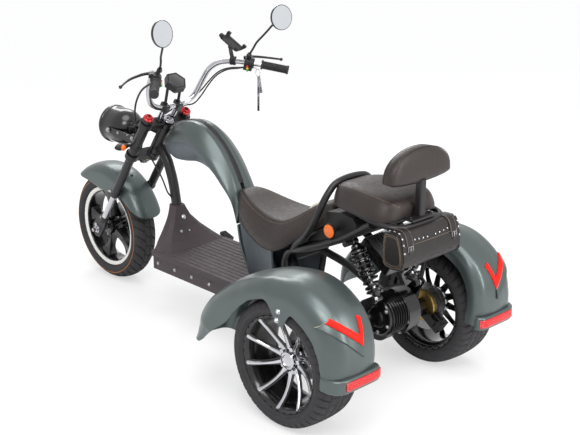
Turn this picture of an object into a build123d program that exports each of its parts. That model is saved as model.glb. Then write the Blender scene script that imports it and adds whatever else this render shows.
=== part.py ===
import os
from math import cos, radians, sin, tan

from build123d import *

os.makedirs("parts", exist_ok=True)

# Main sizes, in millimetres.
# Points are measured from the ground below the rear axle: x forward, y to the left, z up.
# They are drawn for one wheelbase; another one stretches the trike along its foot deck.
WHEELBASE = 1539
DRAWN_WHEELBASE = 1539
TAIL_REACH = 304
FRONT_TYRE_R = 243
FRONT_TYRE_W = 122
REAR_TYRE_R = 229
REAR_TYRE_W = 184
HALF_TRACK = 368
REAR_X = -(WHEELBASE + FRONT_TYRE_R - TAIL_REACH) / 2

# Small gap between pieces that seat on or in each other
FIT = 0.3

# Steering axis, raked back, through the head tube
RAKE = 34.6
STEER_X = 1192
STEER_Z = 700
LEG_OFFSET = 19
LEG_HALF = 96
LEG_R = 22
LOWER_LEG_R = 19
SLIDER_R = 13
STEERER_R = 12

# Positions along the steering axis, from the middle of the head tube
HEAD_LOW = -80
HEAD_HIGH = 78
CLAMP_THICK = 24
LEG_TOP = 122
LEG_STEP = -112
LEG_LOW = -335
SLIDER_LOW = -483

# Frame tubes
HEAD_R = 25
DOWN_TUBE_R = 21
RAIL_R = 12
LOOP_R = 12.5
RACK_R = 10.5
BAR_R = 11.5

# Foot deck
DECK_BACK = 430
DECK_FRONT = 1062
DECK_HALF = 160
DECK_LOW = 207
DECK_LIP = 262
DECK_TOP = 284
DECK_WALL = 3

# Rear fenders
FENDER_WALL = 4
FENDER_INNER_Y = 264
FENDER_OUTER_Y = 472

# Body shell
STRIP_HALF = 9


def along(x):
    """Where a drawn x lies at the present wheelbase."""
    share = min(max((x - DECK_BACK) / (DECK_FRONT - DECK_BACK), 0), 1)
    return x + share * (WHEELBASE - DRAWN_WHEELBASE)


def at(x, y, z):
    """A point measured from the ground below the rear axle."""
    return Vector(REAR_X + along(x), y, z)


def ahead(x, y, z):
    """A point of the steered end, which moves as one with the front wheel."""
    return Vector(REAR_X + x + WHEELBASE - DRAWN_WHEELBASE, y, z)


def side_points(outline):
    """A drawn side or top outline at the present wheelbase."""
    return [(along(x), other) for x, other in outline]


def side_plane(y=0):
    """Upright plane along the trike: local x is forward and local y is up."""
    return Plane(origin=at(0, y, 0), x_dir=(1, 0, 0), z_dir=(0, -1, 0))


def cross_plane(x):
    """Upright plane across the trike: local x is to the left and local y is up."""
    return Plane(origin=at(x, 0, 0), x_dir=(0, 1, 0), z_dir=(1, 0, 0))


def floor_plane(z):
    """Level plane: local x is forward and local y is to the left."""
    return Plane(origin=at(0, 0, z), x_dir=(1, 0, 0), z_dir=(0, 0, 1))


def bend_radii(points, largest):
    """One radius for each corner, as large as its two runs allow."""
    radii = []
    for before, here, after in zip(points, points[1:], points[2:]):
        turn = (here - before).get_angle(after - here)
        room = 0.45 * min((here - before).length, (after - here).length)
        radii.append(min(largest, room / tan(radians(turn) / 2)))
    return radii


def bar(points, radius, largest=400):
    """A round bar along straight runs joined by arcs, added to the open part."""
    with BuildLine() as route:
        FilletPolyline(*points, radius=bend_radii(points, largest))
    with BuildSketch(route.line ^ 0) as section:
        Circle(radius)
    sweep(section.sketch, path=route.line)


def rod(start, end, radius, mode=Mode.ADD):
    """A straight round rod between two points, in the open part."""
    axis = end - start
    with BuildSketch(Plane(origin=start, z_dir=axis)) as section:
        Circle(radius)
    extrude(section.sketch, amount=axis.length, mode=mode)


def slab(plane, points, half, mode=Mode.ADD):
    """A flat plate with a straight outline, as thick on both sides of its plane."""
    with BuildSketch(plane) as section:
        with BuildLine():
            Polyline(*points, close=True)
        make_face()
    extrude(section.sketch, amount=half, both=True, mode=mode)


def both_sides(points):
    """The left points of a route, mirrored to the right to make it whole."""
    return [Vector(p.X, -p.Y, p.Z) for p in reversed(points)] + points


def save(part, name):
    """Labels a finished piece and writes its file."""
    part.label = name
    export_step(part, f"parts/{name}.step")


# The steering axis as a plane: local x is forward, local y is left, local z is up the axis
STEER = Plane(
    origin=at(STEER_X, 0, STEER_Z),
    x_dir=(cos(radians(RAKE)), 0, sin(radians(RAKE))),
    z_dir=(-sin(radians(RAKE)), 0, cos(radians(RAKE))),
)


def on_fork(forward, left, up):
    """A point measured from the steering axis."""
    return STEER.from_local_coords(Vector(forward, left, up))


def fork_side(y):
    """Plane along the fork: local x is forward and local y is up the axis."""
    return Plane(origin=on_fork(0, y, 0), x_dir=STEER.x_dir, z_dir=(0, -1, 0))


# Wheels. A wheel's section plane has the radius as local x and the outward width as local y.
FRONT_HUB = ahead(DRAWN_WHEELBASE, 0, FRONT_TYRE_R)
FRONT_BEAD_R = FRONT_TYRE_R - 77
FRONT_LIP_R = FRONT_TYRE_R - 64
FRONT_RIM_HALF = 47
REAR_BEAD_R = REAR_TYRE_R - 71
REAR_LIP_R = REAR_TYRE_R - 59
REAR_RIM_HALF = 79
RIM_WALL = 6
LIP_WALL = 9
AXLE_R = 8


def rear_hub(side):
    return at(0, side * HALF_TRACK, REAR_TYRE_R)


def wheel_section(hub, side, angle=90):
    """Half plane through the axle at an angle in the wheel, with its width axis outward."""
    out = Vector(0, side, 0)
    radial = Vector(cos(radians(angle)), 0, sin(radians(angle)))
    return Plane(origin=hub, x_dir=radial, z_dir=radial.cross(out))


def wheel_axis(hub):
    return Axis(hub, (0, 1, 0))


def make_tyre(hub, radius, width, bead_r, lip_r, rim_half):
    """A closed tyre that sits between the lips of its rim."""
    half = width / 2
    bead = bead_r + FIT
    foot = rim_half - LIP_WALL - FIT
    high = radius - lip_r
    outline = [
        (bead, foot),
        (lip_r + 3, foot),
        (lip_r + 0.22 * high, half - 2.5),
        (lip_r + 0.5 * high, half),
        (radius - 22, half - 2.5),
        (radius - 10, half - 11),
        (radius - 6.5, half - 18),
        (radius - 1.6, 0.45 * half),
        (radius, 0),
    ]
    with BuildPart() as tyre:
        with BuildSketch(wheel_section(hub, 1)):
            with BuildLine():
                Polyline(*outline)
                Polyline(*((r, -w) for r, w in outline))
                Line((bead, -foot), (bead, foot))
            make_face()
        revolve(axis=wheel_axis(hub))
    return tyre.part


def rim_barrel(hub, side, bead_r, lip_r, rim_half, depth):
    """The ring of a rim with its two lips, added to the open part."""
    inner = bead_r - RIM_WALL
    outline = [
        (lip_r, -rim_half),
        (lip_r, 3 - rim_half),
        (bead_r, LIP_WALL - rim_half),
        (bead_r, rim_half - LIP_WALL),
        (lip_r, rim_half - 3),
        (lip_r, rim_half),
        (lip_r - 5, rim_half),
        (inner, rim_half - 8),
        (inner, rim_half - 28),
        (inner - depth, rim_half - 34),
        (inner - depth, 24 - rim_half),
        (inner, 20 - rim_half),
        (inner, 8 - rim_half),
        (lip_r - 5, -rim_half),
    ]
    with BuildSketch(wheel_section(hub, side)) as section:
        with BuildLine():
            Polyline(*outline, close=True)
        make_face()
    revolve(section.sketch, axis=wheel_axis(hub))


def disc(hub, side, radius, low, high, bore=0, mode=Mode.ADD):
    """A round plate on the axle from one width to another, with or without a bore."""
    face = Plane(origin=hub + Vector(0, side * low, 0), x_dir=(1, 0, 0), z_dir=(0, side, 0))
    with BuildSketch(face) as section:
        Circle(radius)
        if bore:
            Circle(bore, mode=Mode.SUBTRACT)
    extrude(section.sketch, amount=high - low, mode=mode)


# Rear wheels
REAR_SPOKES = 10
LUG_CIRCLE_R = 42
HUB_PLATE_R = 58
HUB_FACE = 12
HUB_BACK = 0
ROTOR_R = 95
SHAFT_R = 12
SHAFT_START = 215
RUNNING = 0.4
for side, name in ((1, "left"), (-1, "right")):
    hub = rear_hub(side)
    tyre = make_tyre(hub, REAR_TYRE_R, REAR_TYRE_W, REAR_BEAD_R, REAR_LIP_R, REAR_RIM_HALF)
    save(tyre, f"rear_tyre_{name}")

    with BuildPart() as rear_rim:
        rim_barrel(hub, side, REAR_BEAD_R, REAR_LIP_R, REAR_RIM_HALF, 4)
        disc(hub, side, HUB_PLATE_R, HUB_BACK, HUB_FACE)
        disc(hub, side, 30, HUB_FACE, HUB_FACE + 14)
        for number in range(REAR_SPOKES):
            angle = 360 * number / REAR_SPOKES + 12
            with BuildSketch(wheel_section(hub, side, angle)):
                with BuildLine():
                    Line((34, HUB_FACE - 9), (34, HUB_FACE + 4))
                    ThreePointArc((34, HUB_FACE + 4), (100, 34), (REAR_LIP_R - 9, REAR_RIM_HALF - 4))
                    Line((REAR_LIP_R - 9, REAR_RIM_HALF - 4), (REAR_LIP_R - 15, REAR_RIM_HALF - 16))
                    ThreePointArc(
                        (REAR_LIP_R - 15, REAR_RIM_HALF - 16), (104, 22), (34, HUB_FACE - 9)
                    )
                make_face()
            extrude(amount=6, both=True)
    save(rear_rim.part, f"rear_rim_{name}")

    with BuildPart() as rear_hub_disc:
        disc(hub, side, HUB_PLATE_R + 2, HUB_BACK - 6, HUB_BACK)
        disc(hub, side, 20, HUB_BACK - 62, HUB_BACK - 6)
        disc(hub, side, ROTOR_R, HUB_BACK - 66, HUB_BACK - 62)
        disc(hub, side, SHAFT_R, SHAFT_START - HALF_TRACK, HUB_BACK - 66)
    save(rear_hub_disc.part, f"rear_hub_{name}")

# Front wheel
FRONT_SPOKES = 5
FRONT_HUB_HALF = 50
FRONT_ROTOR_R = 92
save(
    make_tyre(FRONT_HUB, FRONT_TYRE_R, FRONT_TYRE_W, FRONT_BEAD_R, FRONT_LIP_R, FRONT_RIM_HALF),
    "front_tyre",
)

with BuildPart() as front_rim:
    rim_barrel(FRONT_HUB, 1, FRONT_BEAD_R, FRONT_LIP_R, FRONT_RIM_HALF, 2)
    disc(FRONT_HUB, 1, 36, -FRONT_HUB_HALF, FRONT_HUB_HALF)
    for number in range(FRONT_SPOKES):
        angle = 360 * number / FRONT_SPOKES + 78
        with BuildSketch(wheel_section(FRONT_HUB, 1, angle)):
            with BuildLine():
                Polyline((30, -34), (30, 34), (100, 18), (164, 26), (164, -26), (100, -18), close=True)
            make_face()
        extrude(amount=13, both=True)
    disc(FRONT_HUB, 1, AXLE_R + RUNNING, -FRONT_HUB_HALF, FRONT_HUB_HALF, mode=Mode.SUBTRACT)
save(front_rim.part, "front_rim")

with BuildPart() as front_rotor:
    disc(FRONT_HUB, -1, FRONT_ROTOR_R, FRONT_HUB_HALF, FRONT_HUB_HALF + 4, bore=AXLE_R + RUNNING)
save(front_rotor.part, "front_brake_disc")

# Fork: clamps and steerer, legs, sliders and what holds the front axle
LOW_CLAMP = HEAD_LOW - 0.5 - CLAMP_THICK
HIGH_CLAMP = HEAD_HIGH + 0.5
LEG_SIDES = ((1, "left"), (-1, "right"))


def clamp_plate(low):
    """One fork clamp: a web from the steerer to a ring round each leg, with the leg holes cut."""
    with BuildSketch(STEER.offset(low)) as section:
        Circle(HEAD_R + 1)
        with Locations((LEG_OFFSET, -LEG_HALF), (LEG_OFFSET, LEG_HALF)):
            Circle(LEG_R + 7)
        with BuildLine():
            Polyline(
                (-14, 0), (-4, LEG_HALF), (LEG_OFFSET + 20, LEG_HALF), (36, 0),
                (LEG_OFFSET + 20, -LEG_HALF), (-4, -LEG_HALF), close=True,
            )
        make_face()
        with Locations((LEG_OFFSET, -LEG_HALF), (LEG_OFFSET, LEG_HALF)):
            Circle(LEG_R + FIT, mode=Mode.SUBTRACT)
    extrude(section.sketch, amount=CLAMP_THICK)


with BuildPart() as fork_clamps:
    clamp_plate(LOW_CLAMP)
    clamp_plate(HIGH_CLAMP)
    rod(on_fork(0, 0, LOW_CLAMP), on_fork(0, 0, HIGH_CLAMP + CLAMP_THICK + 12), STEERER_R)
save(fork_clamps.part, "fork_clamps")

with BuildPart() as fork_legs:
    for side, name in LEG_SIDES:
        y = side * LEG_HALF
        rod(on_fork(LEG_OFFSET, y, LEG_STEP), on_fork(LEG_OFFSET, y, LEG_TOP), LEG_R)
        rod(on_fork(LEG_OFFSET, y, LEG_LOW), on_fork(LEG_OFFSET, y, LEG_STEP), LOWER_LEG_R)
        rod(on_fork(LEG_OFFSET, y, LEG_LOW - 12), on_fork(LEG_OFFSET, y, LEG_LOW), LOWER_LEG_R - 3)
        rod(
            on_fork(LEG_OFFSET, y, LEG_LOW - 12), on_fork(LEG_OFFSET, y, LEG_LOW + 40),
            SLIDER_R + FIT, mode=Mode.SUBTRACT,
        )
save(fork_legs.part, "fork_legs")

with BuildPart() as fork_sliders:
    for side, name in LEG_SIDES:
        y = side * LEG_HALF
        rod(on_fork(LEG_OFFSET, y, SLIDER_LOW), on_fork(LEG_OFFSET, y, LEG_LOW + 40), SLIDER_R)
save(fork_sliders.part, "fork_sliders")

with BuildPart() as fork_caps:
    for side, name in LEG_SIDES:
        y = side * LEG_HALF
        rod(on_fork(LEG_OFFSET, y, LEG_TOP), on_fork(LEG_OFFSET, y, LEG_TOP + 9), LEG_R - 2)
        rod(on_fork(LEG_OFFSET, y, LEG_TOP + 9), on_fork(LEG_OFFSET, y, LEG_TOP + 16), LEG_R - 9)
save(fork_caps.part, "fork_caps")

# Axle bracket outline on the fork, forward and up the axis
BRACKET_HALF = 6
BRACKET_OUTLINE = (
    (0, -483), (38, -483), (56, -530), (62, -575), (48, -606), (20, -612), (-4, -596), (-8, -530),
)
with BuildPart() as axle_brackets:
    for side, name in LEG_SIDES:
        slab(fork_side(side * LEG_HALF), BRACKET_OUTLINE, BRACKET_HALF)
        rod(on_fork(LEG_OFFSET, side * LEG_HALF, -510), on_fork(LEG_OFFSET, side * LEG_HALF, -483), 17)
    for side, name in LEG_SIDES:
        inner = FRONT_HUB + Vector(0, side * (LEG_HALF - BRACKET_HALF - 1), 0)
        outer = FRONT_HUB + Vector(0, side * (LEG_HALF + BRACKET_HALF + 1), 0)
        rod(inner, outer, AXLE_R + FIT, mode=Mode.SUBTRACT)
save(axle_brackets.part, "axle_brackets")

# Free length of the front axle outside its nuts
AXLE_END = 15
with BuildPart() as front_axle:
    reach = LEG_HALF + BRACKET_HALF
    disc(FRONT_HUB, 1, AXLE_R, -reach - 9 - AXLE_END, reach + 9 + AXLE_END)
    for side, name in LEG_SIDES:
        disc(FRONT_HUB, side, 13, FRONT_HUB_HALF + 6, LEG_HALF - BRACKET_HALF - FIT)
        disc(FRONT_HUB, side, 13, reach + FIT, reach + 9)
save(front_axle.part, "front_axle")

# Front brake caliper on the right leg, round the edge of the disc
CALIPER_ANGLE = 140


def caliper(hub, side, inner_r, outer_r, low, high, angle, slot_low, slot_high, slot_r):
    """A brake caliper as a block over the edge of a disc, with the slot the disc runs in."""
    with BuildSketch(wheel_section(hub, side, angle)) as section:
        with BuildLine():
            Polyline((inner_r, low), (outer_r, low), (outer_r, high), (inner_r, high), close=True)
        make_face()
    extrude(section.sketch, amount=26, both=True)
    disc(hub, side, slot_r, slot_low, slot_high, mode=Mode.SUBTRACT)


with BuildPart() as front_caliper:
    caliper(
        FRONT_HUB, -1, 66, FRONT_ROTOR_R + 22, FRONT_HUB_HALF - 12 + 8, FRONT_HUB_HALF + 22,
        CALIPER_ANGLE, FRONT_HUB_HALF - 2, FRONT_HUB_HALF + 8, FRONT_ROTOR_R + 5,
    )
    for up in (-464, -446):
        rod(on_fork(LEG_OFFSET, -66, up), on_fork(LEG_OFFSET, -92, up), 8)
    rod(
        on_fork(LEG_OFFSET, -LEG_HALF, SLIDER_LOW), on_fork(LEG_OFFSET, -LEG_HALF, LEG_LOW),
        SLIDER_R + FIT, mode=Mode.SUBTRACT,
    )
save(front_caliper.part, "front_caliper")

# Handlebar: left points of the bar from the middle outward
BAR_MIDDLE = 175
BAR_POINTS = [
    on_fork(LEG_OFFSET, 60, BAR_MIDDLE), ahead(1098, 112, 880), ahead(1078, 136, 941), ahead(1042, 147, 1000),
    ahead(1004, 168, 1030), ahead(950, 200, 1038), ahead(900, 230, 1034), ahead(858, 260, 1028),
]
GRIP_INNER = ahead(858, 260, 1028)
GRIP_OUTER = ahead(774, 334, 1007)
with BuildPart() as handlebar:
    bar(both_sides(BAR_POINTS + [GRIP_OUTER]), BAR_R)
    for side, name in LEG_SIDES:
        y = 33 * side
        rod(on_fork(LEG_OFFSET, y, HIGH_CLAMP + CLAMP_THICK), on_fork(LEG_OFFSET, y, BAR_MIDDLE), 12)
save(handlebar.part, "handlebar")

# The room that the bar takes in what is clamped on it
with BuildPart() as bar_room:
    bar(both_sides(BAR_POINTS + [GRIP_OUTER]), BAR_R + FIT)

GRIP_R = 16
GRIP_AXIS = (GRIP_OUTER - GRIP_INNER).normalized()


def mirrored(point, side):
    return Vector(point.X, side * point.Y, point.Z)


with BuildPart() as grips:
    for side, name in LEG_SIDES:
        start = mirrored(GRIP_INNER + GRIP_AXIS * 8, side)
        end = mirrored(GRIP_OUTER + GRIP_AXIS * 6, side)
        rod(start, end, GRIP_R)
        rod(mirrored(GRIP_OUTER, side), end, GRIP_R + 2)
        rod(start, start + (end - start).normalized() * 6, GRIP_R + 4)
        rod(start, mirrored(GRIP_OUTER + GRIP_AXIS * 0.5, side), BAR_R + FIT, mode=Mode.SUBTRACT)
save(grips.part, "grips")

# Switch cluster, lever perch, lever and mirror stem on each side of the bar
CONTROL_AT = ahead(893, 234, 1033)
LEVER_POINTS = [ahead(915, 236, 1050), ahead(925, 275, 1048), ahead(918, 340, 1038), ahead(883, 404, 1026)]
MIRROR_BASE = ahead(880, 224, 1066)
MIRROR_NEXT = ahead(850, 240, 1120)
MIRROR_AT = ahead(767, 295, 1222)
MIRROR_R = 50
with BuildPart() as controls:
    for side, name in LEG_SIDES:
        grip_line = mirrored(GRIP_AXIS, side)
        start = mirrored(CONTROL_AT, side) - grip_line * 16
        rod(start, start + grip_line * 38, 21)
        rod(mirrored(CONTROL_AT, side), mirrored(MIRROR_BASE, side), 9)
        bar([mirrored(p, side) for p in LEVER_POINTS], 6)
        stem_start = MIRROR_BASE - (MIRROR_NEXT - MIRROR_BASE) * 0.3
        rod(mirrored(stem_start, side), mirrored(MIRROR_NEXT, side), 4 + FIT, mode=Mode.SUBTRACT)
    add(bar_room.part, mode=Mode.SUBTRACT)
save(controls.part, "controls")

with BuildPart() as mirrors:
    for side, name in LEG_SIDES:
        stem = [MIRROR_BASE, MIRROR_NEXT, ahead(806, 262, 1172), ahead(775, 288, 1212)]
        bar([mirrored(p, side) for p in stem], 4)
        facing = Vector(-1, -0.12 * side, 0.12)
        glass = Plane(origin=mirrored(MIRROR_AT, side), z_dir=facing)
        with BuildSketch(glass.offset(-8)):
            Circle(MIRROR_R - 12)
        with BuildSketch(glass):
            Circle(MIRROR_R)
        loft()
        with BuildSketch(glass):
            Circle(MIRROR_R)
        extrude(amount=6)
save(mirrors.part, "mirrors")

with BuildPart() as display:
    screen = Plane(origin=ahead(1078, 0, 955), x_dir=(0, 1, 0), z_dir=(-0.62, 0, 0.78))
    with BuildSketch(screen):
        RegularPolygon(46, 6)
    extrude(amount=14, both=True)
    chamfer(display.edges().group_by(Axis.Z)[-1], 3)
    for y in (-33, 33):
        rod(on_fork(LEG_OFFSET, y, BAR_MIDDLE), ahead(1082, y, 945), 6)
    add(bar_room.part, mode=Mode.SUBTRACT)
save(display.part, "display")

with BuildPart() as phone_holder:
    plate = Plane(origin=ahead(873, -125, 1125), x_dir=(0.35, -0.94, 0), z_dir=(-0.55, -0.2, 0.81))
    with BuildSketch(plate):
        RectangleRounded(66, 92, 8)
    extrude(amount=8)
    with BuildSketch(plate.offset(8)):
        with GridLocations(54, 78, 2, 2):
            RectangleRounded(14, 14, 3)
    extrude(amount=12)
    rod(plate.from_local_coords(Vector(0, 0, 1)), ahead(950, -200, 1038), 9)
    rod(ahead(962, -192, 1039), ahead(938, -208, 1037), 18)
    add(bar_room.part, mode=Mode.SUBTRACT)
save(phone_holder.part, "phone_holder")

# Headlight, turn signals and horn
LAMP_X = 1434
LAMP_Z = 712
LAMP_R = 78
LAMP_LENGTH = 86
with BuildPart() as headlight:
    with BuildSketch(side_plane()):
        with BuildLine():
            back = along(LAMP_X)
            front = back + LAMP_LENGTH
            Line((back - LAMP_R, LAMP_Z), (front, LAMP_Z))
            Line((front, LAMP_Z), (front, LAMP_Z + LAMP_R))
            Line((front, LAMP_Z + LAMP_R), (back, LAMP_Z + LAMP_R))
            CenterArc((back, LAMP_Z), LAMP_R, 90, 90)
        make_face()
    revolve(axis=Axis(ahead(0, 0, LAMP_Z), (1, 0, 0)))
    with BuildSketch(cross_plane(LAMP_X + LAMP_LENGTH)):
        with Locations((0, LAMP_Z)):
            Circle(LAMP_R - 7)
    extrude(amount=-10, mode=Mode.SUBTRACT)
save(headlight.part, "headlight")

with BuildPart() as headlight_lens:
    with BuildSketch(cross_plane(LAMP_X + LAMP_LENGTH - 10)):
        with Locations((0, LAMP_Z)):
            Circle(LAMP_R - 8)
    extrude(amount=6)
save(headlight_lens.part, "headlight_lens")

ARM_HALF = LAMP_R + 6
with BuildPart() as lamp_bracket:
    for side, name in LEG_SIDES:
        slab(
            side_plane(side * ARM_HALF),
            side_points(((1230, 712), (1440, 724), (1452, 712), (1440, 700), (1236, 674))), 2.5,
        )
        rod(ahead(LAMP_X, side * (LAMP_R + FIT), LAMP_Z), ahead(LAMP_X, side * (ARM_HALF + 8), LAMP_Z), 7)
        y = side * LEG_HALF
        rod(on_fork(LEG_OFFSET, y, LEG_STEP), on_fork(LEG_OFFSET, y, 60), LEG_R + FIT, mode=Mode.SUBTRACT)
save(lamp_bracket.part, "lamp_bracket")

with BuildPart() as turn_signals:
    for side, name in LEG_SIDES:
        y = side * LEG_HALF
        rod(on_fork(LEG_OFFSET, y, -40), ahead(1240, side * 150, 684), 6)
        rod(on_fork(LEG_OFFSET, y, LEG_STEP), on_fork(LEG_OFFSET, y, 60), LEG_R + FIT, mode=Mode.SUBTRACT)
        rod(ahead(1226, side * 158, 684), ahead(1262, side * 158, 684), 16)
save(turn_signals.part, "turn_signals")

with BuildPart() as horn:
    face = Plane(origin=on_fork(20, 0, LOW_CLAMP - 34), z_dir=STEER.x_dir)
    with BuildSketch(face):
        Circle(31)
    extrude(amount=22)
    rod(on_fork(30, 0, LOW_CLAMP - 34), on_fork(30, 0, LOW_CLAMP - FIT), 6)
save(horn.part, "horn")

# Front fender: a crowned strip bent round the tyre, its sides cut to the skirt line
FRONT_FENDER_R = 289
FRONT_FENDER_HALF = 74
FENDER_SHELL = 3
SKIRT_OUTLINE = (
    (1800, 470), (1700, 452), (1612, 438), (1515, 414), (1454, 440), (1394, 412), (1302, 359),
    (1223, 307), (1200, 270), (1200, 100), (1900, 100), (1900, 470),
)


def fender_section(inset):
    """Cross section of the front fender from its skirts to its crown, over radius and width."""
    top = FRONT_FENDER_R - inset
    half = FRONT_FENDER_HALF - inset
    with BuildLine() as outline:
        Line((150, -half), (150, half))
        Line((150, half), (top - 34, half))
        ThreePointArc((top - 34, half), (top - 12, half - 12), (top - 4, half - 34))
        ThreePointArc((top - 4, half - 34), (top, 0), (top - 4, 34 - half))
        ThreePointArc((top - 4, 34 - half), (top - 12, 12 - half), (top - 34, -half))
        Line((top - 34, -half), (150, -half))
    make_face(outline.edges())


with BuildPart() as front_fender:
    with BuildSketch(wheel_section(FRONT_HUB, 1, 173)):
        fender_section(0)
    revolve(axis=Axis(FRONT_HUB, (0, 1, 0)), revolution_arc=130)
    with BuildSketch(wheel_section(FRONT_HUB, 1, 173)):
        fender_section(FENDER_SHELL)
    revolve(axis=Axis(FRONT_HUB, (0, 1, 0)), revolution_arc=130, mode=Mode.SUBTRACT)
    slab(side_plane(), side_points(SKIRT_OUTLINE), 200, mode=Mode.SUBTRACT)
    for side, name in LEG_SIDES:
        rod(on_fork(LEG_OFFSET, side * 72, -312), on_fork(LEG_OFFSET, side * 90, -312), 9)
        rod(
            on_fork(LEG_OFFSET, side * LEG_HALF, LEG_LOW), on_fork(LEG_OFFSET, side * LEG_HALF, LEG_STEP),
            LOWER_LEG_R + FIT, mode=Mode.SUBTRACT,
        )
save(front_fender.part, "front_fender")

# Frame: head tube, down tube and the two rails that carry the deck, the body and the rack
with BuildPart() as head_tube:
    rod(on_fork(0, 0, HEAD_LOW), on_fork(0, 0, HEAD_HIGH), HEAD_R)
    rod(on_fork(0, 0, HEAD_LOW), on_fork(0, 0, HEAD_LOW + 10), HEAD_R + 3)
    rod(on_fork(0, 0, HEAD_HIGH - 10), on_fork(0, 0, HEAD_HIGH), HEAD_R + 3)
    rod(on_fork(0, 0, HEAD_LOW), on_fork(0, 0, HEAD_HIGH), STEERER_R + RUNNING, mode=Mode.SUBTRACT)
save(head_tube.part, "head_tube")

RAIL_Z = 237
CROSS_X = 1012
RAIL_FRONT_HALF = 62
DOWN_TUBE_POINTS = [
    at(1200, 0, 668), at(1148, 0, 630), at(1110, 0, 535), at(1090, 0, 430),
    at(1070, 0, 330), at(CROSS_X + 4, 0, RAIL_Z),
]


def down_tube_solid(radius, mode=Mode.ADD):
    with BuildPart(mode=Mode.PRIVATE) as tube:
        bar(DOWN_TUBE_POINTS, radius)
    add(tube.part, mode=mode)


with BuildPart() as down_tube:
    bar(DOWN_TUBE_POINTS, DOWN_TUBE_R)
    rod(on_fork(0, 0, HEAD_LOW - 60), on_fork(0, 0, HEAD_HIGH), HEAD_R + FIT, mode=Mode.SUBTRACT)
    rod(
        at(CROSS_X, -RAIL_FRONT_HALF, RAIL_Z), at(CROSS_X, RAIL_FRONT_HALF, RAIL_Z),
        RAIL_R + FIT, mode=Mode.SUBTRACT,
    )
save(down_tube.part, "down_tube")

# Left rail from the front cross tube back under the deck, up past the pivot and on to the rack
RAIL_POINTS = [
    at(CROSS_X, RAIL_FRONT_HALF, RAIL_Z), at(395, RAIL_FRONT_HALF, RAIL_Z), at(346, 88, 262),
    at(336, 100, 330), at(326, 106, 420), at(300, 112, 470), at(210, 138, 504), at(100, 140, 550),
    at(-10, 140, 602), at(-121, 134, 676),
]
PIVOT_X = 322
PIVOT_Z = 430
with BuildPart() as frame_rails:
    bar(both_sides(RAIL_POINTS), RAIL_R)
    rod(at(300, -108, 468), at(300, 108, 468), RAIL_R - 3)
    rod(at(100, -140, 550), at(100, 140, 550), RAIL_R - 3)
    rod(at(-40, -138, 618), at(-40, 138, 618), RAIL_R - 3)
    for side, name in LEG_SIDES:
        rod(at(-15, side * (112 + FIT), 585), at(-15, side * 148, 585), 11)
save(frame_rails.part, "frame_rails")

# The room that the rails take in what is fixed to them
with BuildPart() as rail_room:
    bar(both_sides(RAIL_POINTS), RAIL_R + FIT)

# Foot deck: an open tray with a cover and an apron that rises to the down tube
DECK_LENGTH = along(DECK_FRONT) - DECK_BACK
DECK_MIDDLE = DECK_BACK + DECK_LENGTH / 2
with BuildPart() as deck_box:
    with BuildSketch(floor_plane(DECK_LOW)):
        with Locations((DECK_MIDDLE, 0)):
            RectangleRounded(DECK_LENGTH, 2 * DECK_HALF, 14)
    extrude(amount=DECK_LIP - DECK_LOW)
    with BuildSketch(floor_plane(DECK_LOW + DECK_WALL)):
        with Locations((DECK_MIDDLE, 0)):
            RectangleRounded(DECK_LENGTH - 2 * DECK_WALL, 2 * (DECK_HALF - DECK_WALL), 14 - DECK_WALL)
    extrude(amount=DECK_LIP, mode=Mode.SUBTRACT)
    for side, name in LEG_SIDES:
        y = side * RAIL_FRONT_HALF
        rod(at(DECK_BACK - 10, y, RAIL_Z), at(DECK_BACK + 10, y, RAIL_Z), RAIL_R + 2, mode=Mode.SUBTRACT)
save(deck_box.part, "deck_box")

# Apron sections: height, front x, back x, half width
APRON_SECTIONS = (
    (DECK_TOP, 1086, 968, 156),
    (312, 1090, 1004, 126),
    (350, 1098, 1034, 86),
    (392, 1107, 1054, 50),
    (440, 1116, 1066, 27),
)
LIP_OUT = 7


def apron_section(height, front, back, half):
    front, back = along(front), along(back)
    with BuildSketch(floor_plane(height)) as section:
        with BuildLine():
            Polyline(
                (front, 0.35 * half), (front - 8, 0.6 * half), (back + 12, half), (back, 0.8 * half),
                (back, -0.8 * half), (back + 12, -half), (front - 8, -0.6 * half),
                (front, -0.35 * half), close=True,
            )
        make_face()
    return section.sketch


with BuildPart() as deck_cover:
    with BuildSketch(floor_plane(DECK_LIP)):
        with Locations((DECK_MIDDLE + LIP_OUT / 2, 0)):
            RectangleRounded(DECK_LENGTH + LIP_OUT, 2 * (DECK_HALF + LIP_OUT), 22)
    extrude(amount=DECK_TOP - DECK_LIP)
    chamfer(deck_cover.edges().group_by(Axis.Z)[-1], 5)
    with BuildSketch(floor_plane(DECK_LIP)):
        with Locations((DECK_MIDDLE, 0)):
            Rectangle(DECK_LENGTH - 40, 2 * (DECK_HALF - 20))
    extrude(amount=DECK_TOP - DECK_LIP - 6, mode=Mode.SUBTRACT)
    loft([apron_section(*row) for row in APRON_SECTIONS], ruled=True)
    down_tube_solid(DOWN_TUBE_R + FIT, mode=Mode.SUBTRACT)
save(deck_cover.part, "deck_cover")

# Black tongue with its bolts, under the front of the deck
with BuildPart() as front_tongue:
    for side, name in LEG_SIDES:
        bar([at(DECK_FRONT + 5, side * 80, 240), at(1120, side * 60, 226), at(1200, side * 26, 176)], 9)

    rod(at(1200, -26, 176), at(1200, 26, 176), 12)
    slab(cross_plane(DECK_FRONT + 5), ((-100, 225), (100, 225), (100, 255), (-100, 255)), 5 - FIT)
save(front_tongue.part, "front_tongue")

with BuildPart() as brake_pedal:
    bar([at(960, -165, 246), at(960, -190, 246), at(978, -196, 262)], 6)
    pad = Plane(origin=at(1000, -192, 272), x_dir=(1, 0, 0.3), z_dir=(-0.3, 0, 1))
    with BuildSketch(pad):
        RectangleRounded(64, 34, 8)
    extrude(amount=9)
    plate = side_points(((940, 232), (980, 232), (980, 258), (940, 258)))
    slab(side_plane(-DECK_HALF - 3), plate, 3 - FIT)
save(brake_pedal.part, "brake_pedal")

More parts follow.
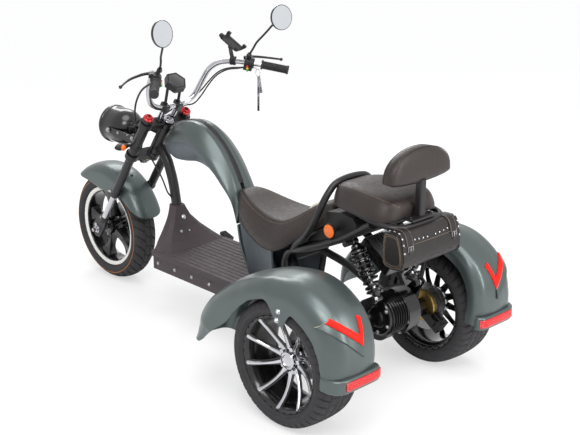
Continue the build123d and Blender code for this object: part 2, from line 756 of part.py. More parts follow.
# Body shell stations: spine x and z, belly x and z, half widths at the spine, crease and belly
BODY_STATIONS = (
    (1139, 716, 1139, 704, 12, 14, 12),
    (1092, 748, 1110, 678, 26, 48, 30),
    (1039, 800, 1050, 655, 30, 62, 38),
    (975, 822, 975, 659, 32, 74, 44),
    (905, 824, 895, 672, 34, 82, 48),
    (840, 800, 835, 664, 34, 84, 48),
    (770, 747, 775, 637, 33, 80, 46),
    (715, 683, 720, 598, 32, 74, 46),
    (674, 614, 668, 553, 38, 66, 48),
    (640, 535, 656, 470, 49, 50, 49),
    (600, 506, 640, 395, 49, 50, 49),
    (500, 480, 610, 330, 49, 50, 49),
    (400, 460, 590, DECK_TOP + FIT, 49, 50, 49),
    (400, 400, 560, DECK_TOP + FIT, 49, 50, 49),
)
CREASE_SHARE = 0.45


def body_section(row, half_of):
    """One station of the shell as a flat outline; half_of gives the widths to use."""
    spine_x, spine_z, belly_x, belly_z, *widths = row
    spine = at(spine_x, 0, spine_z)
    belly = at(belly_x, 0, belly_z)
    drop = (belly - spine)
    place = Plane(origin=spine, x_dir=(0, 1, 0), z_dir=Vector(0, 1, 0).cross(drop))
    depth = drop.length
    outline = half_of(widths, depth)
    with BuildSketch(place) as section:
        with BuildLine():
            Polyline(*outline, close=True)
        make_face()
    return section.sketch


def left_half(widths, depth):
    top, crease, low = widths
    return (
        (STRIP_HALF, 0), (top, 0), (crease, CREASE_SHARE * depth), (low, depth), (STRIP_HALF, depth),
    )


def right_half(widths, depth):
    return [(-x, y) for x, y in left_half(widths, depth)]


def centre_strip(widths, depth):
    return (
        (-STRIP_HALF, -1.5), (STRIP_HALF, -1.5), (STRIP_HALF, depth), (-STRIP_HALF, depth),
    )


with BuildPart() as body_shell:
    for half_of in (left_half, right_half):
        loft([body_section(row, half_of) for row in BODY_STATIONS], ruled=True)
save(body_shell.part, "body_shell")

with BuildPart() as spine_strip:
    loft([body_section(row, centre_strip) for row in BODY_STATIONS], ruled=True)
save(spine_strip.part, "spine_strip")

# Side panels under the rider seat, flaring out to the rear
PANEL_SIDE = ((612, 430), (600, 500), (500, 474), (400, 455), (362, 452), (362, 290), (545, 290))
PANEL_PLAN = ((620, 50), (606, 60), (480, 110), (400, 132), (362, 138), (362, 50))


def panel_solid(side):
    """One side panel: its side outline cut to its outline from above, as a private solid."""
    with BuildPart(mode=Mode.PRIVATE) as panel:
        with BuildSketch(side_plane()):
            with BuildLine():
                Polyline(*side_points(PANEL_SIDE), close=True)
            make_face()
        extrude(amount=160 * -side)
        with BuildSketch(floor_plane(280)):
            with BuildLine():
                Polyline(*((along(x), side * (y + FIT)) for x, y in PANEL_PLAN), close=True)
            make_face()
        extrude(amount=240, mode=Mode.INTERSECT)
    return panel.part


with BuildPart() as side_panels:
    for side, name in LEG_SIDES:
        add(panel_solid(side))
save(side_panels.part, "side_panels")

# Rider seat sections: x, underside, top, half width
SEAT_SECTIONS = (
    (652, 566, 606, 34),
    (600, 516, 608, 82),
    (520, 492, 590, 116),
    (430, 470, 578, 144),
    (350, 468, 580, 158),
    (280, 502, 606, 150),
    (215, 550, 652, 126),
    (150, 590, 678, 118),
    (114, 618, 668, 96),
)


def seat_section(x, low, high, half, foot=0.86):
    """A seat section: a flat foot, flaring sides and a crowned top."""
    shoulder = low + 0.45 * (high - low)
    with BuildSketch(cross_plane(x)) as section:
        with BuildLine():
            Polyline((-half, shoulder), (-foot * half, low), (foot * half, low), (half, shoulder))
            ThreePointArc((half, shoulder), (0.62 * half, high - 0.1 * (high - low)), (0.3 * half, high))
            Line((0.3 * half, high), (-0.3 * half, high))
            ThreePointArc((-0.3 * half, high), (-0.62 * half, high - 0.1 * (high - low)), (-half, shoulder))
        make_face()
    return section.sketch


with BuildPart() as rider_seat:
    loft([seat_section(*row) for row in SEAT_SECTIONS], ruled=True)
save(rider_seat.part, "rider_seat")

PASSENGER_SECTIONS = (
    (102, 712, 744, 70),
    (70, 702, 772, 112),
    (0, 700, 784, 134),
    (-90, 696, 780, 146),
    (-160, 694, 770, 140),
    (-190, 696, 748, 112),
)
with BuildPart() as passenger_seat:
    loft([seat_section(*row, foot=0.6) for row in PASSENGER_SECTIONS], ruled=True)
save(passenger_seat.part, "passenger_seat")

# Black tail shroud under the seats, with a round side reflector on each side
SHROUD_SIDE = (
    (-34, 646), (-12, 604), (60, 578), (150, 548), (196, 532), (206, 540), (160, 572), (112, 606),
    (108, 664), (40, 676), (-16, 668),
)
SHROUD_HALF = 110
REFLECTOR_X = 58
REFLECTOR_Z = 614
BOX_TOP = at(-2, 0, 566)
BOX_LOW = at(-128, 0, 490)
BOX_AXIS = (BOX_LOW - BOX_TOP).normalized()
with BuildPart() as tail_shroud:
    slab(side_plane(), SHROUD_SIDE, SHROUD_HALF)
    rod(BOX_TOP - BOX_AXIS * FIT, BOX_TOP - BOX_AXIS * 60, 14)
    for side, name in LEG_SIDES:
        rod(at(100, side * 60, 600), at(100, side * 60, 548), 10)
    rod(at(100, -150, 550), at(100, 150, 550), RAIL_R - 3 + FIT, mode=Mode.SUBTRACT)
save(tail_shroud.part, "tail_shroud")

with BuildPart() as side_reflectors:
    for side, name in LEG_SIDES:
        start = SHROUD_HALF + FIT
        rod(at(REFLECTOR_X, side * start, REFLECTOR_Z), at(REFLECTOR_X, side * 142, REFLECTOR_Z), 8)
        rod(at(REFLECTOR_X, side * 142, REFLECTOR_Z), at(REFLECTOR_X, side * 150, REFLECTOR_Z), 25)
save(side_reflectors.part, "side_reflectors")

# Hoop behind the rider, from the rails up and across
HOOP_POINTS = [
    at(98, 30, 771), at(98, 84, 762), at(106, 124, 712), at(134, 142, 628), at(178, 144, 560),
    at(236, 136, 516), at(262, 123, 484),
]
with BuildPart() as grab_hoop:
    bar(both_sides(HOOP_POINTS), LOOP_R)
    add(rail_room.part, mode=Mode.SUBTRACT)
save(grab_hoop.part, "grab_hoop")

# Rack: a hoop under the passenger seat with cross bars and the plate that carries the post
RACK_POINTS = [
    at(-228, 60, 680), at(-216, 118, 681), at(-150, 136, 688), at(-60, 132, 700), at(20, 116, 714),
    at(56, 104, 706),
]
with BuildPart() as rear_rack:
    bar(both_sides(RACK_POINTS), RACK_R)
    for x, half, high, low in ((10, 116, 711, 691.5), (-110, 132, 693, 686.5)):
        bar(both_sides([at(x, half - 26, low), at(x, half, high)]), 8)
    add(rail_room.part, mode=Mode.SUBTRACT)
save(rear_rack.part, "rear_rack")

POST_X = -216
POST_LOW = 701
POST_TOP = 830
with BuildPart() as backrest_post:
    slab(floor_plane(POST_LOW - 5), ((-238, -62), (-200, -62), (-200, 62), (-238, 62)), 5)
    with BuildSketch(floor_plane(POST_LOW)):
        with Locations((POST_X, 0)):
            RectangleRounded(28, 28, 4)
    extrude(amount=POST_TOP - POST_LOW)
save(backrest_post.part, "backrest_post")

# Backrest pad: half moon outline across, thinner to the rim
PAD_TIP_Z = 838
PAD_TOP_Z = 938
PAD_HALF = 152


def pad_section(x, shrink):
    with BuildSketch(cross_plane(x)) as section:
        with BuildLine():
            ThreePointArc(
                (shrink - PAD_HALF, PAD_TIP_Z + 0.3 * shrink), (0, PAD_TOP_Z - shrink),
                (PAD_HALF - shrink, PAD_TIP_Z + 0.3 * shrink),
            )
            ThreePointArc(
                (PAD_HALF - shrink, PAD_TIP_Z + 0.3 * shrink), (0, PAD_TIP_Z - 20 + 0.5 * shrink),
                (shrink - PAD_HALF, PAD_TIP_Z + 0.3 * shrink),
            )
        make_face()
    return section.sketch


with BuildPart() as backrest_pad:
    loft([pad_section(x, shrink) for x, shrink in ((-166, 22), (-178, 4), (-205, 0), (-226, 8))], ruled=True)
    with BuildSketch(floor_plane(PAD_TIP_Z - 30)):
        with Locations((POST_X, 0)):
            Rectangle(28 + 2 * FIT, 28 + 2 * FIT)
    extrude(amount=POST_TOP + FIT - PAD_TIP_Z + 30, mode=Mode.SUBTRACT)
save(backrest_pad.part, "backrest_pad")

# Tool bag under the back of the rack
BAG_SIDE = ((-190, 669), (-188, 566), (-232, 556), (-272, 562), (-264, 640), (-250, 669))
BAG_HALF = 150
with BuildPart() as tool_bag:
    slab(side_plane(), BAG_SIDE, BAG_HALF)
    chamfer(tool_bag.edges().filter_by(Axis.Y), 8)
save(tool_bag.part, "tool_bag")

# Rear fenders: one crowned section carried along a route over the wheel
FENDER_ROUTE = (
    (438, 185), (405, 300), (300, 410), (165, 488), (-10, 538), (-128, 536), (-235, 472),
    (-290, 385), (-304, 300), (-288, 245),
)
FENDER_CROWN = 46
FENDER_INNER_DEPTH = 62
FENDER_OUTER_DEPTH = 150
# Lower edge of the outer wall from the front back, with the bolted tab, closed far below
FENDER_EDGE = (
    (231, 318), (200, 356), (164, 396), (117, 433), (71, 452), (38, 461), (16, 450), (0, 418),
    (-17, 395), (-52, 384), (-68, 420), (-84, 440), (-103, 434), (-145, 412), (-186, 378),
    (-213, 328), (-226, 273), (-229, 229), (-229, 20), (300, 20), (340, 236),
)


def fender_band(side, outside, inside):
    """The fender section between two insets, carried along its route, as a private solid."""
    points = [at(x, 0, z) for x, z in FENDER_ROUTE]
    with BuildPart(mode=Mode.PRIVATE) as band:
        with BuildLine() as route:
            FilletPolyline(*points, radius=bend_radii(points, 400))
        heading = (points[1] - points[0]).normalized()
        place = Plane(origin=points[0], x_dir=(0, 1, 0), z_dir=heading)
        with BuildSketch(place) as section:
            with BuildLine():
                for inset in (outside, inside):
                    inner = side * (FENDER_INNER_Y + inset)
                    outer = side * (FENDER_OUTER_Y - inset)
                    turn = side * FENDER_CROWN
                    knee = 0.29 * FENDER_CROWN
                    Line((inner, FENDER_INNER_DEPTH), (inner, FENDER_CROWN + inset))
                    ThreePointArc(
                        (inner, FENDER_CROWN + inset), (inner + side * knee, knee + inset),
                        (inner + turn, inset),
                    )
                    Line((inner + turn, inset), (outer - turn, inset))
                    ThreePointArc(
                        (outer - turn, inset), (outer - side * knee, knee + inset),
                        (outer, FENDER_CROWN + inset),
                    )
                    Line((outer, FENDER_CROWN + inset), (outer, FENDER_OUTER_DEPTH))
                Line(
                    (side * (FENDER_INNER_Y + outside), FENDER_INNER_DEPTH),
                    (side * (FENDER_INNER_Y + inside), FENDER_INNER_DEPTH),
                )
                Line(
                    (side * (FENDER_OUTER_Y - outside), FENDER_OUTER_DEPTH),
                    (side * (FENDER_OUTER_Y - inside), FENDER_OUTER_DEPTH),
                )
            make_face()
        sweep(section.sketch, path=route.line)
    return band.part


LEDGE_LOW = 229
LEDGE_HIGH = 271
LEDGE_PLAN = (
    (-225, 476), (-262, 472), (-299, 444), (-299, 266), (-272, 266), (-272, 436), (-250, 462),
    (-225, 464),
)
V_OUTLINE = ((451, 450), (349, 366), (326, 448), (338, 452), (354, 392), (438, 456))
for side, name in LEG_SIDES:
    with BuildPart() as rear_fender:
        add(fender_band(side, 0, FENDER_WALL))
        with BuildSketch(side_plane(side * 430)):
            with BuildLine():
                Polyline(*FENDER_EDGE, close=True)
            make_face()
        extrude(amount=-60 * side, mode=Mode.SUBTRACT)
        with BuildSketch(floor_plane(LEDGE_LOW)):
            with BuildLine():
                Polyline(*((x, side * y) for x, y in LEDGE_PLAN), close=True)
            make_face()
        extrude(amount=LEDGE_HIGH - LEDGE_LOW)
    save(rear_fender.part, f"rear_fender_{name}")

with BuildPart() as tail_lamps:
    for side, name in LEG_SIDES:
        lens = Plane(origin=at(-301.5, side * 356, 250), x_dir=(0, 1, 0), z_dir=(1, 0, 0))
        slab(lens, ((-86, -15), (86, -15), (86, 15), (-86, 15)), 2.5 - FIT)
save(tail_lamps.part, "tail_lamps")


def v_solid(side):
    """One V of reflector, bent like the fender it lies on, as a private solid."""
    with BuildPart(mode=Mode.PRIVATE) as piece:
        add(fender_band(side, -3, -FIT))
        with BuildSketch(cross_plane(-200)):
            with BuildLine():
                Polyline(*((side * y, z) for y, z in V_OUTLINE), close=True)
            make_face()
        extrude(amount=-160, mode=Mode.INTERSECT)
    return piece.part


with BuildPart() as v_reflectors:
    for side, name in LEG_SIDES:
        add(v_solid(side))
save(v_reflectors.part, "v_reflectors")

# Swing arm, rear axle housing, motor and gear case
ARM_POINTS = [at(PIVOT_X, 70, PIVOT_Z), at(220, 120, 380), at(90, 190, 268)]
AXLE_Z = REAR_TYRE_R
AXLE_HOUSING_R = 30
HOUSING_END = 290
with BuildPart() as swing_arm:
    for side, name in LEG_SIDES:
        bar([mirrored(p, side) for p in ARM_POINTS], 15)
    rod(at(PIVOT_X, -86, PIVOT_Z), at(PIVOT_X, 86, PIVOT_Z), 17)
    rod(at(90, -190, 268), at(90, 190, 268), 14)
    for side, name in LEG_SIDES:
        slab(
            side_plane(side * 190),
            (
                (102, 288), (102, 246), (48, AXLE_Z - 39), (0, AXLE_Z - 57), (-48, AXLE_Z - 34),
                (-50, AXLE_Z + 21), (-20, AXLE_Z + 55),
            ), 5,
        )
    disc(at(0, 0, AXLE_Z), 1, AXLE_HOUSING_R + FIT, -250, 250, mode=Mode.SUBTRACT)
save(swing_arm.part, "swing_arm")

GEAR_X = -70
GEAR_Z = 300
MOTOR_AT = at(-92, 0, 316)
with BuildPart() as rear_axle:
    disc(at(0, 0, AXLE_Z), 1, AXLE_HOUSING_R, -HOUSING_END, HOUSING_END)
    disc(at(0, 0, AXLE_Z), 1, 62, -100, -42)
    disc(at(-40, 0, 268), 1, 60, -98, -42)
    disc(at(GEAR_X, 0, GEAR_Z), 1, 87, -100, -40)
    for side, name in LEG_SIDES:
        rod(at(-130, side * (112 + FIT), 409), at(-130, side * 130, 409), 7)
    for side, name in LEG_SIDES:
        slab(
            side_plane(side * 132),
            (
                (-30, AXLE_Z + 11), (30, AXLE_Z + 11), (20, AXLE_Z + 51), (-90, 400), (-130, 424),
                (-146, 408), (-130, 388),
            ), 4,
        )
        disc(
            at(0, 0, AXLE_Z), side, SHAFT_R + RUNNING, SHAFT_START - 5, HOUSING_END + 5,
            mode=Mode.SUBTRACT,
        )
save(rear_axle.part, "rear_axle")

with BuildPart() as motor:
    disc(MOTOR_AT, 1, 66, -40 + FIT, 62)
    for number in range(6):
        start = -26 + 14 * number
        disc(MOTOR_AT, 1, 73, start, start + 5)
    disc(MOTOR_AT, 1, 34, 62, 72)
    disc(at(0, 0, AXLE_Z), 1, AXLE_HOUSING_R + FIT, -100, 100, mode=Mode.SUBTRACT)
save(motor.part, "motor")

# Shock absorbers: damper body, rod and a spring with its turns as rings
SHOCK_TOP = (-15, 100, 585)
SHOCK_LOW = (-130, 100, 409)
SPRING_TURNS = 8
with BuildPart() as shock_absorbers:
    for side, name in LEG_SIDES:
        top = mirrored(at(*SHOCK_TOP), side)
        low = mirrored(at(*SHOCK_LOW), side)
        axis = (low - top).normalized()
        length = (low - top).length
        rod(top + Vector(0, -12, 0), top + Vector(0, 12, 0), 12)
        rod(low + Vector(0, -12, 0), low + Vector(0, 12, 0), 12)
        rod(top + axis * 14, top + axis * 0.55 * length, 19)
        rod(top, low, 8)
        rod(top + axis * 0.16 * length, top + axis * 0.2 * length, 31)
        rod(top + axis * 0.84 * length, top + axis * 0.88 * length, 31)
        for number in range(SPRING_TURNS):
            share = 0.24 + 0.56 * number / (SPRING_TURNS - 1)
            rod(top + axis * share * length, top + axis * (share * length + 7), 30)
save(shock_absorbers.part, "shock_absorbers")

with BuildPart() as finned_box:
    place = Plane(origin=BOX_TOP, x_dir=(0, 1, 0), z_dir=BOX_AXIS)
    with BuildSketch(place):
        Rectangle(96, 34)
        with GridLocations(12, 0, 8, 1):
            Rectangle(4, 46)
    extrude(amount=(BOX_LOW - BOX_TOP).length)
save(finned_box.part, "finned_box")

with BuildPart() as rear_calipers:
    for side, name in LEG_SIDES:
        hub = rear_hub(side)
        caliper(hub, side, 62, ROTOR_R + 20, -84, -46, 215, -70, -58, ROTOR_R + 5)
        with BuildSketch(wheel_section(hub, side, 215)):
            with BuildLine():
                Polyline((20, -94), (90, -94), (90, -84), (20, -84), close=True)
            make_face()
        extrude(amount=18, both=True)
        disc(hub, side, AXLE_HOUSING_R + FIT, -100, -70, mode=Mode.SUBTRACT)
save(rear_calipers.part, "rear_calipers")

# Stays from the axle housing to the inner walls of the fenders
STAY_Y = 244
STAY_ENDS = ((-60, 483), (135, 439))
with BuildPart() as fender_stays:
    for side, name in LEG_SIDES:
        for x, z in STAY_ENDS:
            foot_y = FENDER_INNER_Y - FIT
            rod(at(0, side * STAY_Y, AXLE_Z), at(x, side * STAY_Y, z), 9)
            rod(at(x, side * (STAY_Y - 4), z), at(x, side * foot_y, z), 15)
        disc(at(0, 0, AXLE_Z), side, AXLE_HOUSING_R + 9, STAY_Y - 12, STAY_Y + 12)
    disc(at(0, 0, AXLE_Z), 1, AXLE_HOUSING_R + FIT, -HOUSING_END, HOUSING_END, mode=Mode.SUBTRACT)
save(fender_stays.part, "fender_stays")

# Held cables: tubes of straight runs and arcs. Each ends in what carries it.
PERCH_CABLE_R = 4
SWITCH_CABLE_R = 3
PERCH_CABLE = [
    ahead(893, 236, 1015), ahead(925, 222, 1010), ahead(975, 212, 992), ahead(1030, 200, 965),
    ahead(1084, 180, 928), ahead(1134, 158, 886), ahead(1176, 134, 840), ahead(1212, 108, 792),
    ahead(1252, 84, 760), ahead(1306, 60, 740), ahead(1372, 32, 727),
]
SWITCH_CABLES = (
    [
        ahead(893, -238, 1017), ahead(930, -232, 1008), ahead(984, -214, 1004), ahead(1036, -196, 985),
        ahead(1072, -176, 945), ahead(1098, -152, 900), ahead(1126, -120, 862), ahead(1158, -74, 842),
        ahead(1200, -48, 802), ahead(1270, -38, 768), ahead(1372, -28, 736),
    ],
    [
        ahead(893, -225, 1017), ahead(930, -212, 1007), ahead(982, -196, 1000), ahead(1030, -178, 972),
        ahead(1060, -160, 930), ahead(1084, -142, 884), ahead(1112, -122, 842), ahead(1152, -100, 838),
        ahead(1190, -72, 800), ahead(1262, -58, 768), ahead(1376, -40, 745),
    ],
)
with BuildPart() as steering_cables:
    bar(PERCH_CABLE, PERCH_CABLE_R)
    for route in SWITCH_CABLES:
        bar(route, SWITCH_CABLE_R)
    with Locations(ahead(LAMP_X, 0, LAMP_Z)):
        Sphere(LAMP_R + FIT, mode=Mode.SUBTRACT)
    for side, name in LEG_SIDES:
        grip_line = mirrored(GRIP_AXIS, side)
        start = mirrored(CONTROL_AT, side) - grip_line * 16
        rod(start, start + grip_line * 38, 21 + FIT, mode=Mode.SUBTRACT)
save(steering_cables.part, "steering_cables")

FRAME_CABLE_R = 3.5
FRAME_CABLE = [
    on_fork(0, 18, -48), on_fork(-4, 42, -56), at(1192, 50, 628), at(1156, 47, 590), at(1126, 45, 553),
    at(1108, 43, 518), at(1101, 36, 488), at(1094, 10, 462),
]
with BuildPart() as frame_cables:
    bar(FRAME_CABLE, FRAME_CABLE_R)
    rod(on_fork(0, 0, HEAD_LOW), on_fork(0, 0, HEAD_HIGH), HEAD_R + FIT, mode=Mode.SUBTRACT)
    down_tube_solid(DOWN_TUBE_R + FIT, mode=Mode.SUBTRACT)
save(frame_cables.part, "frame_cables")

for name, route in (("perch", PERCH_CABLE), ("switch", SWITCH_CABLES[0]), ("frame", FRAME_CABLE)):
    print(name, "cable corner radii", [round(radius) for radius in bend_radii(route, 400)])
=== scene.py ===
from math import copysign, cos, hypot, pi, radians, sin

import bpy
import bmesh
from mathutils import Matrix, Vector
from mathutils.bvhtree import BVHTree


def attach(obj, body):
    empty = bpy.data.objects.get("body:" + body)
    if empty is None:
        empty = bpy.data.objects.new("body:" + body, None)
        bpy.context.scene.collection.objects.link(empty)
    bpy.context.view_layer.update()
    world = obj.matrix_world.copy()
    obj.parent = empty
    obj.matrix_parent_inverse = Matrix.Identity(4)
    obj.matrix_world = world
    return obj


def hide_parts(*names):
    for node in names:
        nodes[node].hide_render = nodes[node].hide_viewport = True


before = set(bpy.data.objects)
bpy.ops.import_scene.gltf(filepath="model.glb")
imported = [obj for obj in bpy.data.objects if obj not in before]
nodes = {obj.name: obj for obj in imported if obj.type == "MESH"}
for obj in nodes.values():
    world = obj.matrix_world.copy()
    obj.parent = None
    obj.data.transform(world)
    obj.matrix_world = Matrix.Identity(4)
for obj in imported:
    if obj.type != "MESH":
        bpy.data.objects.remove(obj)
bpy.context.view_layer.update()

# Lengths are millimetres, also for radii and half sizes, measured from the ground below the rear axle.
MM = 0.001
REAR_X = -739
FORWARD = Vector((1, 0, 0))
LEFT = Vector((0, 1, 0))
UP = Vector((0, 0, 1))
SIDES = ((1, "left"), (-1, "right"))


def at(x, y, z):
    """A point in metres from forward, left and up."""
    return Vector((REAR_X + x, y, z)) * MM


RAKE = radians(34.6)
FORK_ORIGIN = at(1192, 0, 700)
LEG_FORWARD, LEG_LEFT = 19, 96
FORK_FORWARD = Vector((cos(RAKE), 0, sin(RAKE)))
FORK_UP = Vector((-sin(RAKE), 0, cos(RAKE)))


def on_fork(forward, left, up):
    """A point from the fork's axes: forward of, left of and along its stem."""
    return FORK_ORIGIN + (FORK_FORWARD * forward + Vector((0, left, 0)) + FORK_UP * up) * MM


def mirrored(point, side):
    return Vector((point.x, side * point.y, point.z))


def once(side, node):
    """What a mirrored piece replaces: the left one stands for the node of both."""
    return (node,) if side > 0 else ()


def around_axis(count, shift=0.0):
    """Angles that share a full turn out evenly."""
    return [2 * pi * k / count + shift for k in range(count)]


# Materials


def add_node(tree, kind, place=(0, 0), **values):
    """A shader node; values are its settings or its inputs, with _ for a space."""
    node = tree.nodes.new(kind)
    node.location = place
    for key, value in values.items():
        if hasattr(node, key):
            setattr(node, key, value)
        else:
            node.inputs[key.replace("_", " ")].default_value = value
    return node


def srgb(r, g, b):
    """A colour as read on screen, 0 to 255, as the linear colour that a shader takes."""
    line = [c / 255 for c in (r, g, b)]
    return tuple(c / 12.92 if c <= 0.04045 else ((c + 0.055) / 1.055) ** 2.4 for c in line) + (1.0,)


def set_ramp(node, low, high):
    node.color_ramp.elements[0].position = low
    node.color_ramp.elements[1].position = high
    return node.color_ramp.elements


COAT_ROUGH = 0.12
SHEEN_ROUGH = 0.5
BUMP_STRENGTH = 0.6
GRAINS = {"cells": ("ShaderNodeTexVoronoi", "Distance", {"feature": "DISTANCE_TO_EDGE"}),
    "weave": ("ShaderNodeTexBrick", "Fac", {}), "lines": ("ShaderNodeTexWave", "Fac", {"Distortion": 0.4}),
    "noise": ("ShaderNodeTexNoise", "Fac", {"Detail": 4.0})}


def material(name, screen_colour, rough, vary, vary_scale, grain=None, metal=0.0, rough_vary=0.08, coat=0.0,
        wear=0.0, specular=0.5):
    """A shader with patches of colour, changing roughness and a fine relief.

    grain is (kind, scale, height in metres): noise, cells, weave or lines."""
    colour = srgb(*screen_colour)
    made = bpy.data.materials.new(name)
    made.use_nodes = True
    tree = made.node_tree
    link = tree.links.new
    shader = tree.nodes["Principled BSDF"]
    for key, value in (("Metallic", metal), ("Specular IOR Level", specular), ("Coat Weight", coat),
            ("Coat Roughness", COAT_ROUGH), ("Sheen Weight", 0.0), ("Sheen Roughness", SHEEN_ROUGH)):
        shader.inputs[key].default_value = value
    where = add_node(tree, "ShaderNodeTexCoord", (-1300, 0)).outputs["Object"]
    patches = add_node(tree, "ShaderNodeTexNoise", (-1050, 200), Scale=vary_scale, Detail=5.0,
        Roughness=0.6)
    link(where, patches.inputs["Vector"])
    ramp = add_node(tree, "ShaderNodeValToRGB", (-800, 200))
    low, high = set_ramp(ramp, 0.3, 0.72)
    low.color = tuple(c * (1 - vary) for c in colour[:3]) + (1,)
    high.color = tuple(min(1, c * (1 + vary)) for c in colour[:3]) + (1,)
    link(patches.outputs["Fac"], ramp.inputs["Fac"])
    tone = ramp.outputs["Color"]
    if wear:
        edge = add_node(tree, "ShaderNodeNewGeometry", (-1050, 500))
        sharp = add_node(tree, "ShaderNodeValToRGB", (-800, 500))
        set_ramp(sharp, 0.52, 0.6)
        link(edge.outputs["Pointiness"], sharp.inputs["Fac"])
        part = add_node(tree, "ShaderNodeMath", (-600, 500), operation="MULTIPLY")
        part.inputs[1].default_value = wear
        link(sharp.outputs["Color"], part.inputs[0])
        mix = add_node(tree, "ShaderNodeMix", (-420, 300), data_type="RGBA")
        link(part.outputs["Value"], mix.inputs["Factor"])
        link(tone, mix.inputs["A"])
        mix.inputs["B"].default_value = tuple(min(1, c * 3 + 0.05) for c in colour[:3]) + (1,)
        tone = mix.outputs["Result"]
    link(tone, shader.inputs["Base Color"])
    spots = add_node(tree, "ShaderNodeTexNoise", (-1050, -100), Scale=vary_scale * 6, Detail=6.0)
    link(where, spots.inputs["Vector"])
    spread = add_node(tree, "ShaderNodeMapRange", (-800, -100), From_Min=0.3, From_Max=0.7,
        To_Min=max(0.02, rough - rough_vary), To_Max=min(1, rough + rough_vary))
    link(spots.outputs["Fac"], spread.inputs["Value"])
    link(spread.outputs["Result"], shader.inputs["Roughness"])
    if grain:
        kind, scale, height = grain
        texture, result, settings = GRAINS[kind]
        relief = add_node(tree, texture, (-1050, -400), Scale=scale, **settings)
        link(where, relief.inputs["Vector"])
        bump = add_node(tree, "ShaderNodeBump", (-400, -400), Strength=BUMP_STRENGTH, Distance=height)
        link(relief.outputs[result], bump.inputs["Height"])
        link(bump.outputs["Normal"], shader.inputs["Normal"])
    return made


PAINT = material("paint_green", (80, 89, 88), 0.35, 0.05, 4, ("noise", 2400, 0.00002), 0.6, 0.03, coat=0.15)
PANEL = material("paint_slate", (80, 88, 94), 0.44, 0.05, 5, ("noise", 1800, 0.00003), 0.35, 0.04)
LEATHER = material("leatherette", (42, 34, 31), 0.46, 0.16, 14, ("cells", 520, 0.00025), specular=0.36)
BAG_LEATHER = material("bag_leather", (25, 20, 19), 0.42, 0.2, 22, ("cells", 420, 0.0004), rough_vary=0.1,
    wear=0.2, specular=0.4)
DECK = material("deck_plastic", (66, 58, 61), 0.6, 0.08, 12, ("noise", 900, 0.00018), specular=0.3)
FRAME_BLACK = material("frame_black", (27, 25, 27), 0.4, 0.15, 30, ("noise", 700, 0.00008), coat=0.1,
    specular=0.36)
PLASTIC = material("black_plastic", (27, 25, 26), 0.52, 0.15, 30, ("noise", 1100, 0.00012), specular=0.35)
GLOSS_BLACK = material("gloss_black", (16, 15, 16), 0.2, 0.1, 20, ("noise", 60, 0.00003), rough_vary=0.05,
    coat=0.3, specular=0.4)
FORK_BLACK = material("fork_black", (22, 21, 23), 0.34, 0.1, 25, ("noise", 900, 0.00005), coat=0.15,
    specular=0.36)
CHROME = material("chrome", (186, 186, 190), 0.1, 0.03, 40, ("noise", 300, 0.00001), 1.0, 0.04)
ALLOY = material("cast_alloy", (150, 150, 152), 0.38, 0.12, 30, ("noise", 420, 0.00025), 0.9)
STEEL = material("steel", (170, 170, 172), 0.3, 0.08, 50, ("lines", 90, 0.00005), 1.0)
GOLD = material("zinc_gold", (196, 164, 96), 0.34, 0.2, 18, ("noise", 300, 0.0001), 0.9)
RUBBER = material("tyre_rubber", (48, 46, 48), 0.72, 0.12, 24, ("noise", 800, 0.0002), specular=0.35)
GRIP = material("grip_rubber", (34, 33, 34), 0.62, 0.12, 60, ("weave", 180, 0.0006))
RED_METAL = material("red_metal", (190, 18, 30), 0.24, 0.1, 60, metal=0.35, coat=0.5)
RED_LENS = material("red_lens", (200, 20, 24), 0.2, 0.12, 80, ("cells", 260, 0.0008), coat=0.4,
    specular=0.4)
V_LENS = material("v_lens", (232, 22, 2), 0.45, 0.08, 60, ("cells", 300, 0.0006), specular=0.2)
AMBER = material("amber_lens", (240, 112, 8), 0.24, 0.1, 90, ("cells", 350, 0.0008), coat=0.3,
    specular=0.35)
WHITE_PAINT = material("rim_white", (222, 220, 216), 0.35, 0.04, 20, coat=0.3)
SCREEN = material("screen", (16, 17, 20), 0.08, 0.1, 30, coat=1.0)
LENS = material("lamp_lens", (196, 200, 206), 0.1, 0.08, 30, ("lines", 60, 0.0008), 0.3, coat=1.0)
MIRROR = material("mirror_glass", (216, 220, 224), 0.03, 0.02, 8, metal=1.0)
ORANGE_LINE = material("orange_line", (196, 120, 40), 0.6, 0.1, 60)
THREAD = material("thread", (150, 132, 110), 0.8, 0.2, 300, ("lines", 500, 0.0003))
# A pale colour for painted light: the highlight at the tip of each fender facet and the reflection under
# the rider seat's tail.
PAINTED_LIGHT_PALE = material("painted_light_pale", (206, 202, 184), 0.4, 0.08, 40)
GREEN_KEY = material("green_button", (40, 160, 60), 0.4, 0.08, 60)
YELLOW_KEY = material("yellow_button", (225, 190, 30), 0.4, 0.08, 60)

CAD_LOOKS = (
    (FRAME_BLACK, "frame_rails head_tube down_tube front_tongue brake_pedal grab_hoop rear_rack "
                  "backrest_post fender_stays swing_arm fork_clamps axle_brackets lamp_bracket"),
    (DECK, "deck_box deck_cover"),
    (PLASTIC, "tail_shroud controls display phone_holder headlight turn_signals spine_strip "
              "steering_cables frame_cables"),
    (GLOSS_BLACK, "rear_axle motor shock_absorbers rear_calipers front_caliper mirrors horn front_rim "
                  "rear_rim_left rear_rim_right"),
    (AMBER, "side_reflectors"), (ALLOY, "finned_box"), (FORK_BLACK, "fork_legs"), (GRIP, "grips"),
    (CHROME, "fork_sliders handlebar"), (RED_METAL, "fork_caps"), (LENS, "headlight_lens"),
    (STEEL, "front_axle front_brake_disc rear_hub_left rear_hub_right"), (RED_LENS, "tail_lamps"),
    (V_LENS, "v_reflectors"), (PANEL, "side_panels"),
    (PAINT, "body_shell rear_fender_left rear_fender_right front_fender"),
    (LEATHER, "rider_seat passenger_seat backrest_pad"), (BAG_LEATHER, "tool_bag"),
    (RUBBER, "front_tyre rear_tyre_left rear_tyre_right"),
)
for look, names in CAD_LOOKS:
    for name in names.split():
        nodes[name].data.materials.clear()
        nodes[name].data.materials.append(look)


